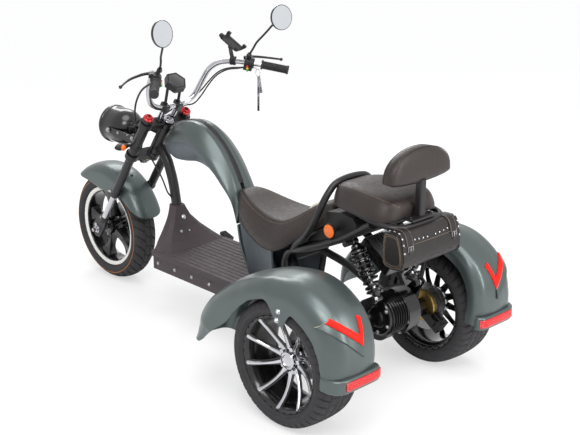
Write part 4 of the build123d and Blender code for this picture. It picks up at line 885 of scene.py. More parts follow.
pad = Shape().rings([[at(x, y, z) for y, z in moon(shrink)] for x, shrink in ((-160, 64), (-163, 40),
    (-168, 20), (-175, 8), (-184, 2), (-196, 0), (-208, 0), (-217, 3), (-223, 9), (-227, 22), (-229, 44),
    (-230, 64))]).done("backrest_cushion", "chassis", LEATHER, "seat_leather", levels=1,
    replaces=("backrest_pad",))
seam = Shape()
for x, shrink in ((-180, 3), (-214, 0.6)):
    line = [at(x, y, z) for y, z in moon(shrink)]
    seam.tube(line + line[:1], 1.1, segments=8, caps=False)
seam.done("backrest_seams", "chassis", LEATHER, "seat_leather")
post = Shape()
post.rings([[at(-216 + x, y, z) for x, y in ((-14, -10), (-14, 10), (-10, 14), (10, 14), (14, 10),
    (14, -10), (10, -14), (-10, -14))] for z in (698, 740, 790, 829)])
post.block(at(-219, 0, 699), FORWARD, LEFT, UP, (19, 62, 3.5))
for y in (-50, 50):
    post.bolt(at(-219, y, 702), UP, 6, 7)
post.done("backrest_post_tube", "chassis", FRAME_BLACK, "black_frame", bevel=0.001,
    replaces=("backrest_post",))

# Tool bag: a soft box with a flap, edge welts, straps, studs and pale stitching
BAG_OUTLINE = ((-192, 672), (-214, 677), (-246, 676), (-257, 664), (-265, 640), (-272, 604), (-274, 574),
    (-268, 560), (-250, 556), (-226, 554), (-200, 559), (-189, 569), (-188, 600), (-189, 640))


def bag_sag(y):
    """How far the bag hangs lower at a width than at its ends."""
    return 2.5 * cos(y / 100)


def bag_ring(y, swell):
    """The bag's outline at one width, puffed out from its middle."""
    middle_x, middle_z = -229, 616
    return [at(middle_x + (x - middle_x) * swell, y, middle_z + (z - middle_z) * swell - bag_sag(y))
        for x, z in BAG_OUTLINE]


BAG_WIDTHS = ((-149, 0.62), (-150, 0.86), (-149, 0.96), (-143, 0.985), (-120, 1.0), (-70, 1.015),
    (-20, 1.0), (0, 0.995), (20, 1.0), (70, 1.015), (120, 1.0), (143, 0.985), (149, 0.96), (150, 0.86),
    (149, 0.62))
made = Shape().rings([bag_ring(y, swell) for y, swell in BAG_WIDTHS]).done("tool_bag_body", "chassis",
    BAG_LEATHER, "seat_leather", levels=1, replaces=("tool_bag",))
FLAP = ((-196, 676.5), (-214, 680), (-246, 680), (-260, 667), (-268.5, 641), (-275.5, 606), (-276.5, 588))
rings = []
for y in range(-146, 147, 4):
    drop = -6 if abs(y) > 96 else 0
    ring = []
    for i, (x, z) in enumerate(smooth_row(FLAP, 3)):
        wave = 0.8 * sin(y * 0.07 + i * 0.5) + 1.2 * cos(y * 0.045)
        ring.append(at(x - 0.4 * wave, y, z - bag_sag(y) + (drop if i > 14 else 0)))
    rings.append(ring)
Shape().rings(rings, closed=False, caps=False).done("tool_bag_flap", "chassis", BAG_LEATHER, "seat_leather",
    levels=1, solid=-0.0022)


def bag_back(y, down, lift=0.0):
    """A point on the flap's outside, so many millimetres down from its top edge."""
    line = smooth_row(FLAP + ((-276.5, 575), (-271, 561)), 6)
    gone = 0.0
    for (ax, az), (bx, bz) in zip(line, line[1:]):
        run = hypot(bx - ax, bz - az)
        if gone + run >= down:
            t = (down - gone) / run
            nx, nz = -(bz - az) / run, (bx - ax) / run
            if nx > 0:
                nx, nz = -nx, -nz
            nz = abs(nz)
            return at(ax + (bx - ax) * t + nx * lift, y, az + (bz - az) * t + nz * lift - bag_sag(y))
        gone += run
    return at(line[-1][0], y, line[-1][1])


STRAP_YS = (-112, 112)
straps = Shape()
for y in STRAP_YS:
    rings = []
    for k in range(24):
        down = 6 + 5.4 * k
        wide = 17 if down < 96 else 17 - (down - 96) * 0.28
        rings.append([bag_back(y + wide * (j / 2 - 1), down, 2.6 if j in (0, 4) else 3.4)
            for j in range(5)])
    straps.rings(rings, closed=False, caps=False)
straps.done("tool_bag_straps", "chassis", BAG_LEATHER, "seat_leather", levels=1, solid=-0.002)
thread = Shape()
for y in STRAP_YS:
    for edge in (-13.5, 13.5):
        for k in range(22):
            thread.tube([bag_back(y + edge, down + 5.0 * k, 5.8) for down in (10, 13.2)], THREAD_RADIUS,
                segments=6)
for side in (-1, 1):
    for ring in (bag_ring(side * 149.5, s) for s in (0.9, 0.8)):
        for a, b in zip(ring, ring[1:] + ring[:1]):
            steps = max(1, int((b - a).length / (5 * MM)))
            for k in range(steps):
                p = a + (b - a) * (k / steps)
                q = a + (b - a) * ((k + 0.62) / steps)
                out = Vector((0, side * 1.3, 0)) * MM
                thread.tube([p + out, q + out], THREAD_RADIUS, segments=6)
for k in range(57):
    y = -144 + 5.05 * k
    if abs(abs(y) - STRAP_YS[1]) > 17:
        thread.tube([bag_back(y, 100, 3.6), bag_back(y + 3.2, 100, 3.6)], THREAD_RADIUS, segments=6)
thread.done("tool_bag_stitches", "chassis", THREAD, "seat_leather")
welt = Shape()
for side in (-1, 1):
    for y, swell, radius in ((146, 1.0, 2.4), (149, 0.76, 1.6)):
        ring = bag_ring(side * y, swell)
        welt.tube(ring + ring[:1], radius, segments=8, caps=False)
welt.done("tool_bag_welts", "chassis", BAG_LEATHER, "seat_leather")
studs = Shape()
for y in (-141, 141):
    for down in (14, 34, 54, 74, 94, 122):
        studs.lathe(bag_back(y, down, 2.0), bag_back(y, down, 6.0) - bag_back(y, down, 2.0),
            [(3.8, 0), (3.4, 1.4), (2.2, 2.3), (0.05, 2.7)], 14)
for y in (-84, -63, -42, -21, 21, 42, 63, 84):
    studs.lathe(bag_back(y, 90 - 0.0006 * y * y, 2.4), Vector((-1, 0, 0.2)), [(3.4, 0), (3.0, 1.3),
        (1.9, 2.1), (0.05, 2.4)], 14)
for y in STRAP_YS:
    centre = bag_back(y, 112, 4.6)
    studs.tube([centre + Vector((0, a * MM, b * MM)) for a, b in ((-11, -8), (11, -8), (11, 8), (-11, 8),
        (-11, -8))], 1.3, segments=8)
    studs.tube([centre + Vector((-0.001, 0, 0.008)), centre + Vector((-0.0015, 0, -0.009))], 1.1,
        segments=8)
studs.done("tool_bag_studs", "chassis", CHROME, "chrome")

# Reflector V, facet wedge with a painted highlight at its tip, and tail lamp on each rear fender
V_OUTER = ((451, 450), (349, 366), (326, 448))
V_INNER = ((436, 464), (354, 401), (342, 455))


def between(a, b, t):
    return tuple(p + (q - p) * t for p, q in zip(a, b))


def path_point(points, t):
    """A point at share t of a line with few corners, each stretch taking the same share."""
    place = min(t, 0.9999) * (len(points) - 1)
    i = int(place)
    return between(points[i], points[i + 1], place - i)


def strip_on_fender(finder, side, low_line, high_line, lifts, steps):
    """A strip on the back of the fender, between two lines given over y and z."""
    rings = []
    for i in range(steps + 1):
        low = path_point(low_line, i / steps)
        high = path_point(high_line, i / steps)
        ring = []
        for share, lift in lifts:
            y, z = between(low, high, share)
            hit, normal = finder.ray_cast(at(-500, side * y, z), FORWARD)[:2]
            if hit is None:
                hit, normal = at(-250, side * y, z), -FORWARD
            if normal.x > 0:
                normal = -normal
            ring.append(hit + normal * lift * MM)
        rings.append(ring)
    return Shape().rings(rings)


for side, name in SIDES:
    rows = fender_rows(side)
    count = len(rows[0])
    corners = [p for row in rows for p in row]
    quads = [(i + k, i + k + 1, i + count + k + 1, i + count + k)
        for i in range(0, len(corners) - count, count) for k in range(count - 1)]
    finder = BVHTree.FromPolygons(corners, quads)
    strip_on_fender(finder, side, V_OUTER, V_INNER, ((0.0, -2.5), (0.0, 3.4), (0.06, 4.2), (0.3, 4.8),
        (0.7, 4.8), (0.94, 4.2), (1.0, 3.4), (1.0, -2.5)), 48).done(f"reflector_v_{name}", "chassis",
        V_LENS, "red_lens", angle=50, replaces=once(side, "v_reflectors"))
    strip_on_fender(finder, side, ((468, 436), (350, 329)), ((453, 449), (349, 365)), ((-0.02, -2.5),
        (0.0, 5.5), (0.05, 6.6), (0.5, 5.4), (0.95, 3.8), (1.0, 2.6), (1.0, -2.5)), 24).done(
        f"fender_facet_{name}", "chassis", PAINT, "body_paint", angle=28)
    # A pale strip at the facet's tip: a painted highlight, not a part of its own.
    strip_on_fender(finder, side, ((470, 435), (455, 449)), ((466, 440), (451, 453)),
        ((0.0, -2), (0.1, 6.8), (0.9, 6.8), (1.0, -2)), 8).done(f"fender_facet_painted_highlight_{name}", "chassis", PAINTED_LIGHT_PALE,
        "body_paint")
    lens = Shape().rings(ledge_rings(side, ((-2, 266), (-6.6, 265.5), (-7.8, 264), (-8.2, 260),
        (-6.8, 258.6), (-8.2, 257.2), (-8.4, 252.6), (-6.9, 251.2), (-8.4, 249.8), (-8.4, 245),
        (-6.8, 243.6), (-8.2, 242.2), (-7.8, 238), (-6.6, 236.5), (-2, 236)), 270, 436))
    for k in range(9):
        y = 424 - 3.4 * k
        lens.tube([at(-307.8, side * y, 238.5), at(-308.8, side * y, 251), at(-307.8, side * y, 263.5)],
            0.9, segments=6)
    lens.done(f"tail_lamp_{name}", "chassis", RED_LENS, "red_lens", angle=40,
        replaces=once(side, "tail_lamps"))

# Front fender: lanes along its crown and skirts, each ending where the skirt line cuts it
SKIRT = ((1200, 270), (1223, 307), (1302, 359), (1394, 412), (1454, 440), (1515, 414), (1612, 438),
    (1700, 452), (1800, 470))
CROWN = ((0, 289), (14, 288.6), (28, 287), (42, 284), (54, 279.5), (64, 272), (71, 263), (74, 254))


def skirt_height(x):
    """Height of the skirt line; ahead of it and behind it the line is out of the way."""
    for (ax, az), (bx, bz) in zip(SKIRT, SKIRT[1:]):
        if ax <= x <= bx:
            return az + (bz - az) * (x - ax) / (bx - ax)
    return 470 if x > 1800 else 250


def above_skirt(radius, angle):
    x = FRONT_X + radius * cos(angle)
    return FRONT_AXLE_Z + radius * sin(angle) > skirt_height(x)


def lane_ends(radius):
    """First and last angle at which a point of this radius lies above the skirt line."""
    good = [a for a in (radians(40 + 0.25 * k) for k in range(520)) if above_skirt(radius, a)]
    return good[0], good[-1]


LANE_STEPS = 90
rings = []
ends = [lane_ends(r) for y, r in CROWN]
for k in range(LANE_STEPS + 1):
    t = k / LANE_STEPS
    half = [(y, r, first + (last - first) * t) for (y, r), (first, last) in zip(CROWN, ends)]
    angle = half[-1][2]
    low = 252.0
    while low > 176 and above_skirt(low, angle):
        low -= 1
    for j in range(1, 6):
        half.append((74, 254 + (low - 254) * j / 5, angle))
    right = [(-y, r, a) for y, r, a in reversed(half)]
    rings.append([at(FRONT_X + r * cos(a), y, FRONT_AXLE_Z + r * sin(a)) for y, r, a in right + half[1:]])
Shape().rings(rings, closed=False, caps=False).done("front_fender_skin", "steering", PAINT, "body_paint",
    levels=1, solid=0.003, replaces=("front_fender",))
lugs = Shape()
for side, name in SIDES:
    out = Vector((0, side, 0))
    lugs.rod(on_fork(LEG_FORWARD, side * 73, -312), on_fork(LEG_FORWARD, side * 80, -312), 10)
    lugs.bolt(on_fork(LEG_FORWARD, side * 75, -250), out, 5, 5)
lugs.bolt(at(1404, 0, 497), Vector((-0.5, 0, 0.85)), 5, 5)
lugs.done("front_fender_lugs", "steering", FORK_BLACK, "black_plastic", bevel=0.0005)

# Headlight: round shell with a rim, reflector bowl and domed glass
LAMP = at(1434, 0, 712)
shell = Shape()
shell.lathe(LAMP, FORWARD, ((0.1, -78), (16, -76.5), (30, -72), (44, -64.5), (55, -56), (64, -45),
    (70, -34), (75, -20), (77.4, -8), (78, 4), (78, 40), (78, 66), (79, 68), (81.5, 70), (82.5, 75),
    (82, 82), (79, 86), (75, 87), (72, 85), (72, 76)), 96)
shell.lathe(LAMP, FORWARD, ((9, -79), (13, -79), (14, -74), (12, -70)), 32)
shell.done("headlight_shell", "steering", GLOSS_BLACK, "black_plastic", replaces=("headlight",))
Shape().lathe(LAMP, FORWARD, ((72, 78), (66, 60), (52, 38), (30, 22), (0.1, 16)), 64).done("headlight_bowl",
    "steering", CHROME, "chrome")
Shape().lathe(LAMP, FORWARD, ((73, 80), (66, 82.5), (50, 85), (26, 86.5), (0.1, 87)), 64).done(
    "headlight_glass", "steering", LENS, "lamp_glass", replaces=("headlight_lens",))
ears = Shape()
bolts = Shape()
for side, name in SIDES:
    out = Vector((0, side, 0))
    ears.rings([[at(1262 + (20 + 26 * max(0, cos(a)) ** 3) * cos(a), side * y,
        706 + 20 * sin(a) * (1 - 0.3 * max(0, cos(a)))) for a in around_axis(28)] for y in (85, 92)])
    bolts.bolt(at(1262, side * 92, 706), out, 6.5, 6)
    bolts.bolt(at(1434, side * 90, 712), out, 7.5, 8)
    for x in (1300, 1370):
        bolts.bolt(at(x, side * 86.5, 710), out, 4, 4)
ears.done("lamp_bracket_ears", "steering", FORK_BLACK, "black_frame", bevel=0.0012)
bolts.done("lamp_bracket_bolts", "steering", STEEL, "steel", bevel=0.0004)

# Turn signals: drop shaped bodies with an amber face
for side, name in SIDES:
    Shape().rings([[at(1245 + 1.15 * r * cos(a), side * y, 685 + 0.82 * r * sin(a))
        for a in around_axis(28)] for y, r in ((112, 6.5), (122, 7.5), (134, 12), (146, 16), (160, 18),
        (174, 16), (184, 11), (190, 5), (192, 0.6))]).done(f"turn_signal_{name}", "steering", PLASTIC,
        "black_plastic", levels=1, replaces=once(side, "turn_signals"))
    amber = Shape()
    for sign in (1, -1):
        amber.lathe(at(1245 + sign * 15, side * 160, 685), Vector((sign, 0, 0)), ((12.5, 0), (12.2, 4),
            (9, 6.2), (0.1, 7.4)), 32)
    amber.done(f"turn_signal_lens_{name}", "steering", AMBER, "amber")
    arm = Shape()
    arm.tube([on_fork(LEG_FORWARD, side * 92, -34), on_fork(24, side * 104, -36),
        at(1243, side * 118, 685)], 6.5)
    arm.rod(on_fork(LEG_FORWARD, side * LEG_LEFT, -52), on_fork(LEG_FORWARD, side * LEG_LEFT, -22), 24.5,
        segments=40)
    arm.done(f"turn_signal_arm_{name}", "steering", PLASTIC, "black_plastic")

# Horn: dished can with a ring of rivets and a centre bolt on its back
HORN = on_fork(20, 0, -138.5)
can = Shape()
can.lathe(HORN, FORK_FORWARD, ((0.1, 3), (10, 2), (14, -1), (22, 0), (29, 1.5), (32, 4), (32.5, 9),
    (31, 12), (31, 20), (28, 24), (14, 23), (0.1, 20)), 64)
can.tube([on_fork(30, 0, -138), on_fork(32, 0, -120), on_fork(30, 0, -106)], 6)
can.done("horn_can", "steering", GLOSS_BLACK, "black_plastic", replaces=("horn",))
rivets = Shape()
for a in around_axis(6, 0.3):
    spot = HORN + LEFT * 26 * cos(a) * MM + FORK_UP * 26 * sin(a) * MM
    rivets.rod(spot + FORK_FORWARD * 3 * MM, spot - FORK_FORWARD * 1.5 * MM, 2.8, segments=12)
rivets.done("horn_rivets", "steering", STEEL, "steel")
Shape().bolt(HORN + FORK_FORWARD * MM, -FORK_FORWARD, 5.5, 7).done("horn_bolt", "steering", GOLD, "steel",
    bevel=0.0004)

# Riser clamps, stem bolt, red caps, dust seals and axle nuts
blocks = Shape()
heads = Shape()
for side, name in SIDES:
    middle = on_fork(LEG_FORWARD, side * 33, 175)
    blocks.block(middle, LEFT, FORK_UP, FORK_FORWARD, (12, 17, 19))
    blocks.rod(on_fork(LEG_FORWARD, side * 33, 102.5), on_fork(LEG_FORWARD, side * 33, 112), 17, 14)
    for forward in (-12, 12):
        heads.rod(middle + (FORK_FORWARD * forward + FORK_UP * 16) * MM,
            middle + (FORK_FORWARD * forward + FORK_UP * 21) * MM, 4.2, segments=14)
blocks.done("riser_clamps", "steering", FORK_BLACK, "black_frame", bevel=0.003)
heads.bolt(on_fork(0, 0, 114), FORK_UP, 15, 10)
heads.done("riser_bolts", "steering", CHROME, "chrome", bevel=0.0005)
caps = Shape()
hexes = Shape()
seals = Shape()
nuts = Shape()
for side, name in SIDES:
    y = side * LEG_LEFT
    caps.lathe(on_fork(LEG_FORWARD, y, 122), FORK_UP, ((20.5, 0), (21.2, 1), (21.2, 3), (20, 3.8), (20, 5),
        (21.2, 5.8), (21.2, 8), (19.5, 9.6), (14, 10), (13.6, 15.4), (12.6, 16.4), (8.4, 16.4), (8, 12),
        (0.1, 12)), 56)
    hexes.bolt(on_fork(LEG_FORWARD, y, 133.5), FORK_UP, 6.2, 2.2, washer=False)
    seals.lathe(on_fork(LEG_FORWARD, y, -335), -FORK_UP, ((19.6, -8), (20.8, -7), (20.8, -1), (19, 1),
        (17.5, 4), (18, 6), (17.2, 8.5), (17.4, 11), (15, 13), (13.1, 13)), 48)
    seals.lathe(on_fork(LEG_FORWARD, y, -112), FORK_UP, ((19.3, -6), (21, -4), (22.6, 0), (22.6, 5),
        (22.1, 7)), 48)
    out = Vector((0, side, 0))
    nuts.bolt(at(FRONT_X, side * 102.4, FRONT_AXLE_Z), out, 12, 10)
    nuts.rod(on_fork(LEG_FORWARD, y, -484), on_fork(LEG_FORWARD, y, -478), 15.5, segments=28)
    nuts.bolt(on_fork(30, side * 102.2, -500), out, 6, 6)
    nuts.bolt(on_fork(44, side * 102.2, -562), out, 5, 5)
caps.done("fork_cap_rings", "steering", RED_METAL, "red_metal", replaces=("fork_caps",))
hexes.done("fork_cap_hexes", "steering", GLOSS_BLACK, "black_frame")
seals.done("fork_seals", "steering", FORK_BLACK, "fork_black")
nuts.done("front_axle_nuts", "steering", CHROME, "chrome", bevel=0.0005)

# Grips, switch housings with buttons, levers and mirrors
GRIP_INNER = at(858, 260, 1028)
GRIP_OUTER = at(774, 334, 1007)
GRIP_GROOVES = 26
GRIP_AXIS = (GRIP_OUTER - GRIP_INNER).normalized()
HOUSING = at(893, 234, 1033)
LEVER = (at(915, 236, 1050), at(925, 275, 1048), at(918, 340, 1038), at(883, 404, 1026))
for side, name in SIDES:
    axis = mirrored(GRIP_AXIS, side)
    end = (GRIP_OUTER - GRIP_INNER).length / MM - 2
    run = (end - 20) / GRIP_GROOVES
    profile = [(11.9, 0), (19, 0), (20, 1.5), (20, 4.5), (18.5, 6), (16.2, 8)]
    for k in range(GRIP_GROOVES):
        w = 10 + run * k
        profile += [(15.4, w), (16.3, w + run * 0.2), (16.3, w + run * 0.75), (15.4, w + run * 0.9)]
    profile += [(16.4, end - 9), (18, end - 7), (18.2, end - 2), (16.8, end), (6, end + 0.6),
        (0.1, end + 0.4)]
    Shape().lathe(mirrored(GRIP_INNER + GRIP_AXIS * 8 * MM, side), axis, profile, 40).done(
        f"grip_sleeve_{name}", "steering", GRIP, "grip_rubber", angle=28, replaces=once(side, "grips"))
    centre = mirrored(HOUSING, side)
    across = axis.cross(UP).normalized() * side
    over = axis.cross(across).normalized()
    if over.z < 0:
        over = -over
    house = Shape()
    house.lathe(centre - axis * 17 * MM, axis, ((12, 0), (18.5, 0.4), (20.6, 2.5), (21, 8), (21, 18.4),
        (20.2, 18.8), (20.2, 19.6), (21, 20), (21, 35), (20.4, 38), (17, 39.5), (12, 39.5)), 48)
    house.block(centre + (over * -21 - across * 4) * MM, axis, over, across, (17, 9, 13))
    house.block(centre + (over * 14 + across * 16) * MM, axis, over, across, (13, 8, 10))
    house.rod(centre + over * 12 * MM, mirrored(at(880, 224, 1066), side), 9, 8)
    house.rod(mirrored(at(884, 226, 1058), side), mirrored(at(879, 224, 1069), side), 10.5, segments=6)
    house.done(f"switch_housing_{name}", "steering", PLASTIC, "black_plastic", bevel=0.0018,
        replaces=once(side, "controls"))
    lever = Shape()
    route = smooth_points([mirrored(p, side) for p in LEVER], 9)
    sizes = [6.5 - 2.6 * i / (len(route) - 1) for i in range(len(route))]
    lever.tube(route, sizes)
    tip = mirrored(LEVER[-1], side)
    lever.lathe(tip, route[-1] - route[-2], ((0.1, -7), (4, -6), (6.4, -3), (7, 0), (6.4, 3), (4, 6),
        (0.1, 7)), 24)
    lever.rod(mirrored(at(915, 236, 1040), side), mirrored(at(915, 236, 1057), side), 8)
    lever.done(f"brake_lever_{name}", "steering", FORK_BLACK, "black_plastic")
    stem = Shape()
    stalk = smooth_points([mirrored(p, side) for p in (at(880, 224, 1066), at(862, 232, 1096),
        at(850, 240, 1120), at(826, 252, 1148), at(806, 262, 1172), at(786, 280, 1203))], 6)
    stem.tube(stalk, 4.4)
    rise = (stalk[1] - stalk[0]).normalized()
    stem.rod(stalk[0] - rise * 4 * MM, stalk[0] + rise * 10 * MM, 8.5, segments=6)
    back = Vector((1, 0.12 * side, -0.12)).normalized()
    heart = mirrored(at(767, 295, 1222), side)
    stem.rod(stalk[-1], heart + back * 10 * MM, 6, 9)
    stem.lathe(heart, back, ((47, -5), (49, -6.5), (50, -5), (50.3, 0), (49, 5), (45, 9), (36, 12),
        (22, 14), (0.1, 14.6)), 72)
    stem.done(f"mirror_stem_{name}", "steering", GLOSS_BLACK, "chrome", replaces=once(side, "mirrors"))
    Shape().lathe(heart, -back, ((48.4, 4.4), (47.6, 5.2), (30, 5.6), (0.1, 5.8)), 72).done(
        f"mirror_face_{name}", "steering", MIRROR, "chrome")
for number, (look, name) in enumerate(((RED_METAL, "red"), (YELLOW_KEY, "yellow"), (GREEN_KEY, "green"))):
    key = Shape()
    for side, _ in SIDES:
        axis = mirrored(GRIP_AXIS, side)
        across = axis.cross(UP).normalized() * side
        point = mirrored(HOUSING, side) + (UP * (-12 - 9 * number) - across * 15 - axis * 4) * MM
        key.rod(point, point - across * 8 * MM, 4.6, 4.0)
    key.done(f"switch_button_{name}", "steering", look, "black_plastic", bevel=0.0006)

# Display glass and bezel on the hexagon
SCREEN_OUT = Vector((-0.62, 0, 0.78)).normalized()
SCREEN_UP = LEFT.cross(SCREEN_OUT).normalized()
SCREEN_AT = at(1078, 0, 955)
bezel = Shape()


def hexagon(radius, lift):
    """A ring of the display, so far from its centre and off its face."""
    return [SCREEN_AT + (LEFT * cos(pi * k / 3) + SCREEN_UP * sin(pi * k / 3)) * radius * MM
        + SCREEN_OUT * lift * MM for k in range(6)]


Shape().rings([hexagon(38, 13.8), hexagon(38, 15), hexagon(36.5, 15.6)]).done("display_glass_face",
    "steering", SCREEN, "display_glass", bevel=0.0008)
bezel.rings([hexagon(45.6, 10), hexagon(46.2, 13), hexagon(44.5, 16.4), hexagon(40.5, 16.8),
    hexagon(38.2, 14)], caps=False)
bezel.rings([hexagon(46, -14.2), hexagon(40, -17), hexagon(20, -19)])
bezel.done("display_bezel", "steering", GLOSS_BLACK, "display_glass", angle=25)

# Phone cradle on its arm: back plate, four claws and a ball joint
CRADLE = at(873, -125, 1125)
CRADLE_X = Vector((0.35, -0.94, 0)).normalized()
CRADLE_OUT = Vector((-0.55, -0.2, 0.81)).normalized()
CRADLE_UP = CRADLE_OUT.cross(CRADLE_X).normalized()
cradle = Shape()


def on_cradle(a, b, c):
    return CRADLE + (CRADLE_X * a + CRADLE_UP * b + CRADLE_OUT * c) * MM


def cradle_plate(half_x, half_y, corner, lift):
    """A rounded rectangle on the cradle."""
    ring = []
    for k in range(24):
        turn = 2 * pi * (k + 0.5) / 24
        cx = copysign(half_x - corner, cos(turn))
        cy = copysign(half_y - corner, sin(turn))
        ring.append(on_cradle(cx + corner * cos(turn), cy + corner * sin(turn), lift))
    return ring


cradle.rings([cradle_plate(29, 42, 8, -1), cradle_plate(32, 45, 9, 1), cradle_plate(33, 46, 9, 5),
    cradle_plate(31, 44, 8, 8), cradle_plate(22, 34, 6, 8.4), cradle_plate(21, 33, 6, 6)])
for a in (-1, 1):
    for b in (-1, 1):
        cradle.rings([[on_cradle(a * (27 + u * 8) + p, b * (39 + u * 6) + q, w)
            for p, q in ((-7, -7), (7, -7), (7, 7), (-7, 7))]
            for u, w in ((0, 5), (0.3, 8), (0.5, 14), (0.3, 20))])
cradle.rod(on_cradle(0, 0, 2), on_cradle(0, -6, -18), 13, 9)
route = smooth_points([on_cradle(0, -6, -14), at(905, -150, 1088), at(932, -180, 1056),
    at(948, -198, 1041)], 6)
cradle.tube(route, 8, segments=20)
joint = at(950, -200, 1038)
along = (at(962, -192, 1039) - at(938, -208, 1037)).normalized()
cradle.lathe(joint - along * 12 * MM, along, ((12, 0), (17, 0.5), (18, 2), (18, 11), (16.8, 11.6),
    (16.8, 12.4), (18, 13), (18, 22), (17, 23.5), (12, 24)), 40)
cradle.done("phone_cradle", "steering", PLASTIC, "black_plastic", bevel=0.0012, replaces=("phone_holder",))

# Rear: shock absorbers with coil springs
COILS = 7
COIL_STEPS = 22
for side, name in SIDES:
    top = at(-15, side * 100, 585)
    low = at(-130, side * 100, 409)
    axis = (low - top).normalized()
    length = (low - top).length
    first = axis.orthogonal().normalized()
    second = axis.cross(first)
    points = []
    for k in range(COILS * COIL_STEPS + 1):
        a = 2 * pi * k / COIL_STEPS
        share = 0.215 + 0.63 * k / (COILS * COIL_STEPS)
        points.append(top + axis * share * length + (first * cos(a) + second * sin(a)) * 26 * MM)
    Shape().tube(points, 4.4, segments=10).done(f"shock_spring_{name}", "chassis", GLOSS_BLACK,
        "black_metal", replaces=once(side, "shock_absorbers"))
    bodies = Shape()
    for spot in (top, low):
        bodies.rod(spot - LEFT * 12 * MM, spot + LEFT * 12 * MM, 12, segments=28)
    size = length / MM
    bodies.lathe(top, axis, ((8, 8), (14, 12), (19, 16), (20, 24), (30, 0.16 * size), (31, 0.17 * size),
        (31, 0.2 * size), (28, 0.21 * size), (20, 0.215 * size), (20, 0.5 * size), (17, 0.54 * size),
        (8, 0.55 * size)), 44)
    bodies.lathe(top, axis, ((9, 0.83 * size), (24, 0.835 * size), (31, 0.85 * size), (31, 0.88 * size),
        (20, 0.9 * size), (12, 0.95 * size), (10, 0.98 * size)), 44)
    bodies.done(f"shock_body_{name}", "chassis", GLOSS_BLACK, "black_metal")
    rods = Shape()
    rods.rod(top + axis * 0.5 * length, low - axis * 8 * MM, 8)
    rods.lathe(top, axis, ((19.8, 0.3 * size), (22, 0.31 * size), (22, 0.36 * size), (19.8, 0.37 * size)),
        40)
    for spot in (top, low):
        rods.bolt(spot + LEFT * side * 11.5 * MM, LEFT * side, 8, 9)
    rods.done(f"shock_rod_{name}", "chassis", CHROME, "chrome", bevel=0.0004)

# Finned box cover, motor, gold drum flange
BOX_TOP = at(-2, 0, 566)
BOX_LOW = at(-128, 0, 490)
box_axis = (BOX_LOW - BOX_TOP).normalized()
box_out = LEFT.cross(box_axis).normalized()
case = Shape()
middle = (BOX_TOP + BOX_LOW) / 2
half_long = (BOX_LOW - BOX_TOP).length / 2
for side in (-1, 1):
    case.block(middle + LEFT * side * 48 * MM, LEFT, box_out, box_axis, (2.6, 20, half_long / MM - 2))
    for share in (-0.8, 0.8):
        for lift in (-13, 13):
            spot = middle + box_axis * share * half_long + box_out * lift * MM
            case.rod(spot + LEFT * side * 50 * MM, spot + LEFT * side * 52.6 * MM, 3.2, segments=12)
case.done("finned_box_covers", "chassis", GLOSS_BLACK, "black_metal", bevel=0.0012)
MOTOR = at(-92, 0, 316)
profile = [(0.1, -39), (50, -39), (62, -37), (66, -33)]
for k in range(7):
    w = -27 + 12 * k
    profile += [(66, w), (72, w + 1.4), (73, w + 2.6), (72, w + 3.8), (66, w + 5.4)]
profile += [(66, 58), (62, 62), (46, 63), (40, 60), (36, 62), (34, 70), (30, 72), (0.1, 72)]
Shape().lathe(MOTOR, LEFT, profile, 72).done("motor_case", "chassis", GLOSS_BLACK, "alloy",
    replaces=("motor",), angle=28)
screws = Shape()
for a in around_axis(6, 0.4):
    out = Vector((cos(a), 0, sin(a))) * 54 * MM
    screws.bolt(MOTOR + out + LEFT * 61 * MM, LEFT, 5.5, 7)
for a in around_axis(8, 0.2):
    out = Vector((cos(a), 0, sin(a))) * 78 * MM
    screws.bolt(at(-70, -100, 300) + out, -LEFT, 5, 6)
    screws.bolt(at(-70, -40, 300) + out, LEFT, 5, 6)
screws.done("motor_screws", "chassis", STEEL, "steel", bevel=0.0004)
for side, name in SIDES:
    Shape().lathe(rear_hub(side), LEFT * side, ((26, -75), (58, -75), (60.5, -73), (60.5, -68), (57, -66.5),
        (40, -67), (36, -70), (26, -70)), 72).done(f"drum_flange_{name}", f"rear_wheel_{name}", GOLD,
        "steel")

# Deck ribs, side screws, apron skin and its fixings
ribs = Shape()
for side in (-1, 1):
    for k in range(6):
        y = side * (14 + 25 * k)
        end = 1046 - 8 * k if k > 2 else 960
        ribs.rings([[at(x, y + w, z) for w, z in ((-4.2, 283), (-4.2, 284.5), (-2.8, 286.1), (2.8, 286.1),
            (4.2, 284.5), (4.2, 283))] for x in (450, 452, end - 2, end)])
ribs.done("deck_ribs", "chassis", DECK, "deck_plastic", bevel=0.0006)
screws = Shape()
for side in (-1, 1):
    for k in range(6):
        screws.bolt(at(480 + 108 * k, side * 160, 236), LEFT * side, 5, 4.5)
for y in (-60, -20, 20, 60):
    screws.bolt(at(1072, y, 240), FORWARD, 6, 6)
screws.done("deck_screws", "chassis", STEEL, "steel", bevel=0.0004)
APRON = ((285, 1086, 968, 156), (296, 1088, 988, 140), (312, 1090.5, 1004, 126), (350, 1098.5, 1034, 86),
    (392, 1107.5, 1054, 50), (430, 1114, 1064, 31), (440.5, 1116.5, 1066, 27))
APRON_POWER = 0.62
rings = []
for height, front, back, half in smooth_row(APRON, 5):
    middle = (front + back) / 2
    deep = (front - back) / 2 + 1.2
    ring = []
    for a in around_axis(40):
        c, s = cos(a), sin(a)
        narrow = 0.86 + 0.14 * (1 if c < 0.2 else 1 - 0.35 * (c - 0.2))
        ring.append(at(middle + deep * copysign(abs(c) ** APRON_POWER, c),
            (half + 1.0) * copysign(abs(s) ** APRON_POWER, s) * narrow, height))
    rings.append(ring)
Shape().rings(rings).done("apron_skin", "chassis", DECK, "deck_plastic", angle=40)
Shape().bolt(at(1052, -3, 392), Vector((-0.9, 0, 0.4)), 7, 6).done("apron_bolt", "chassis", CHROME,
    "chrome", bevel=0.0005)

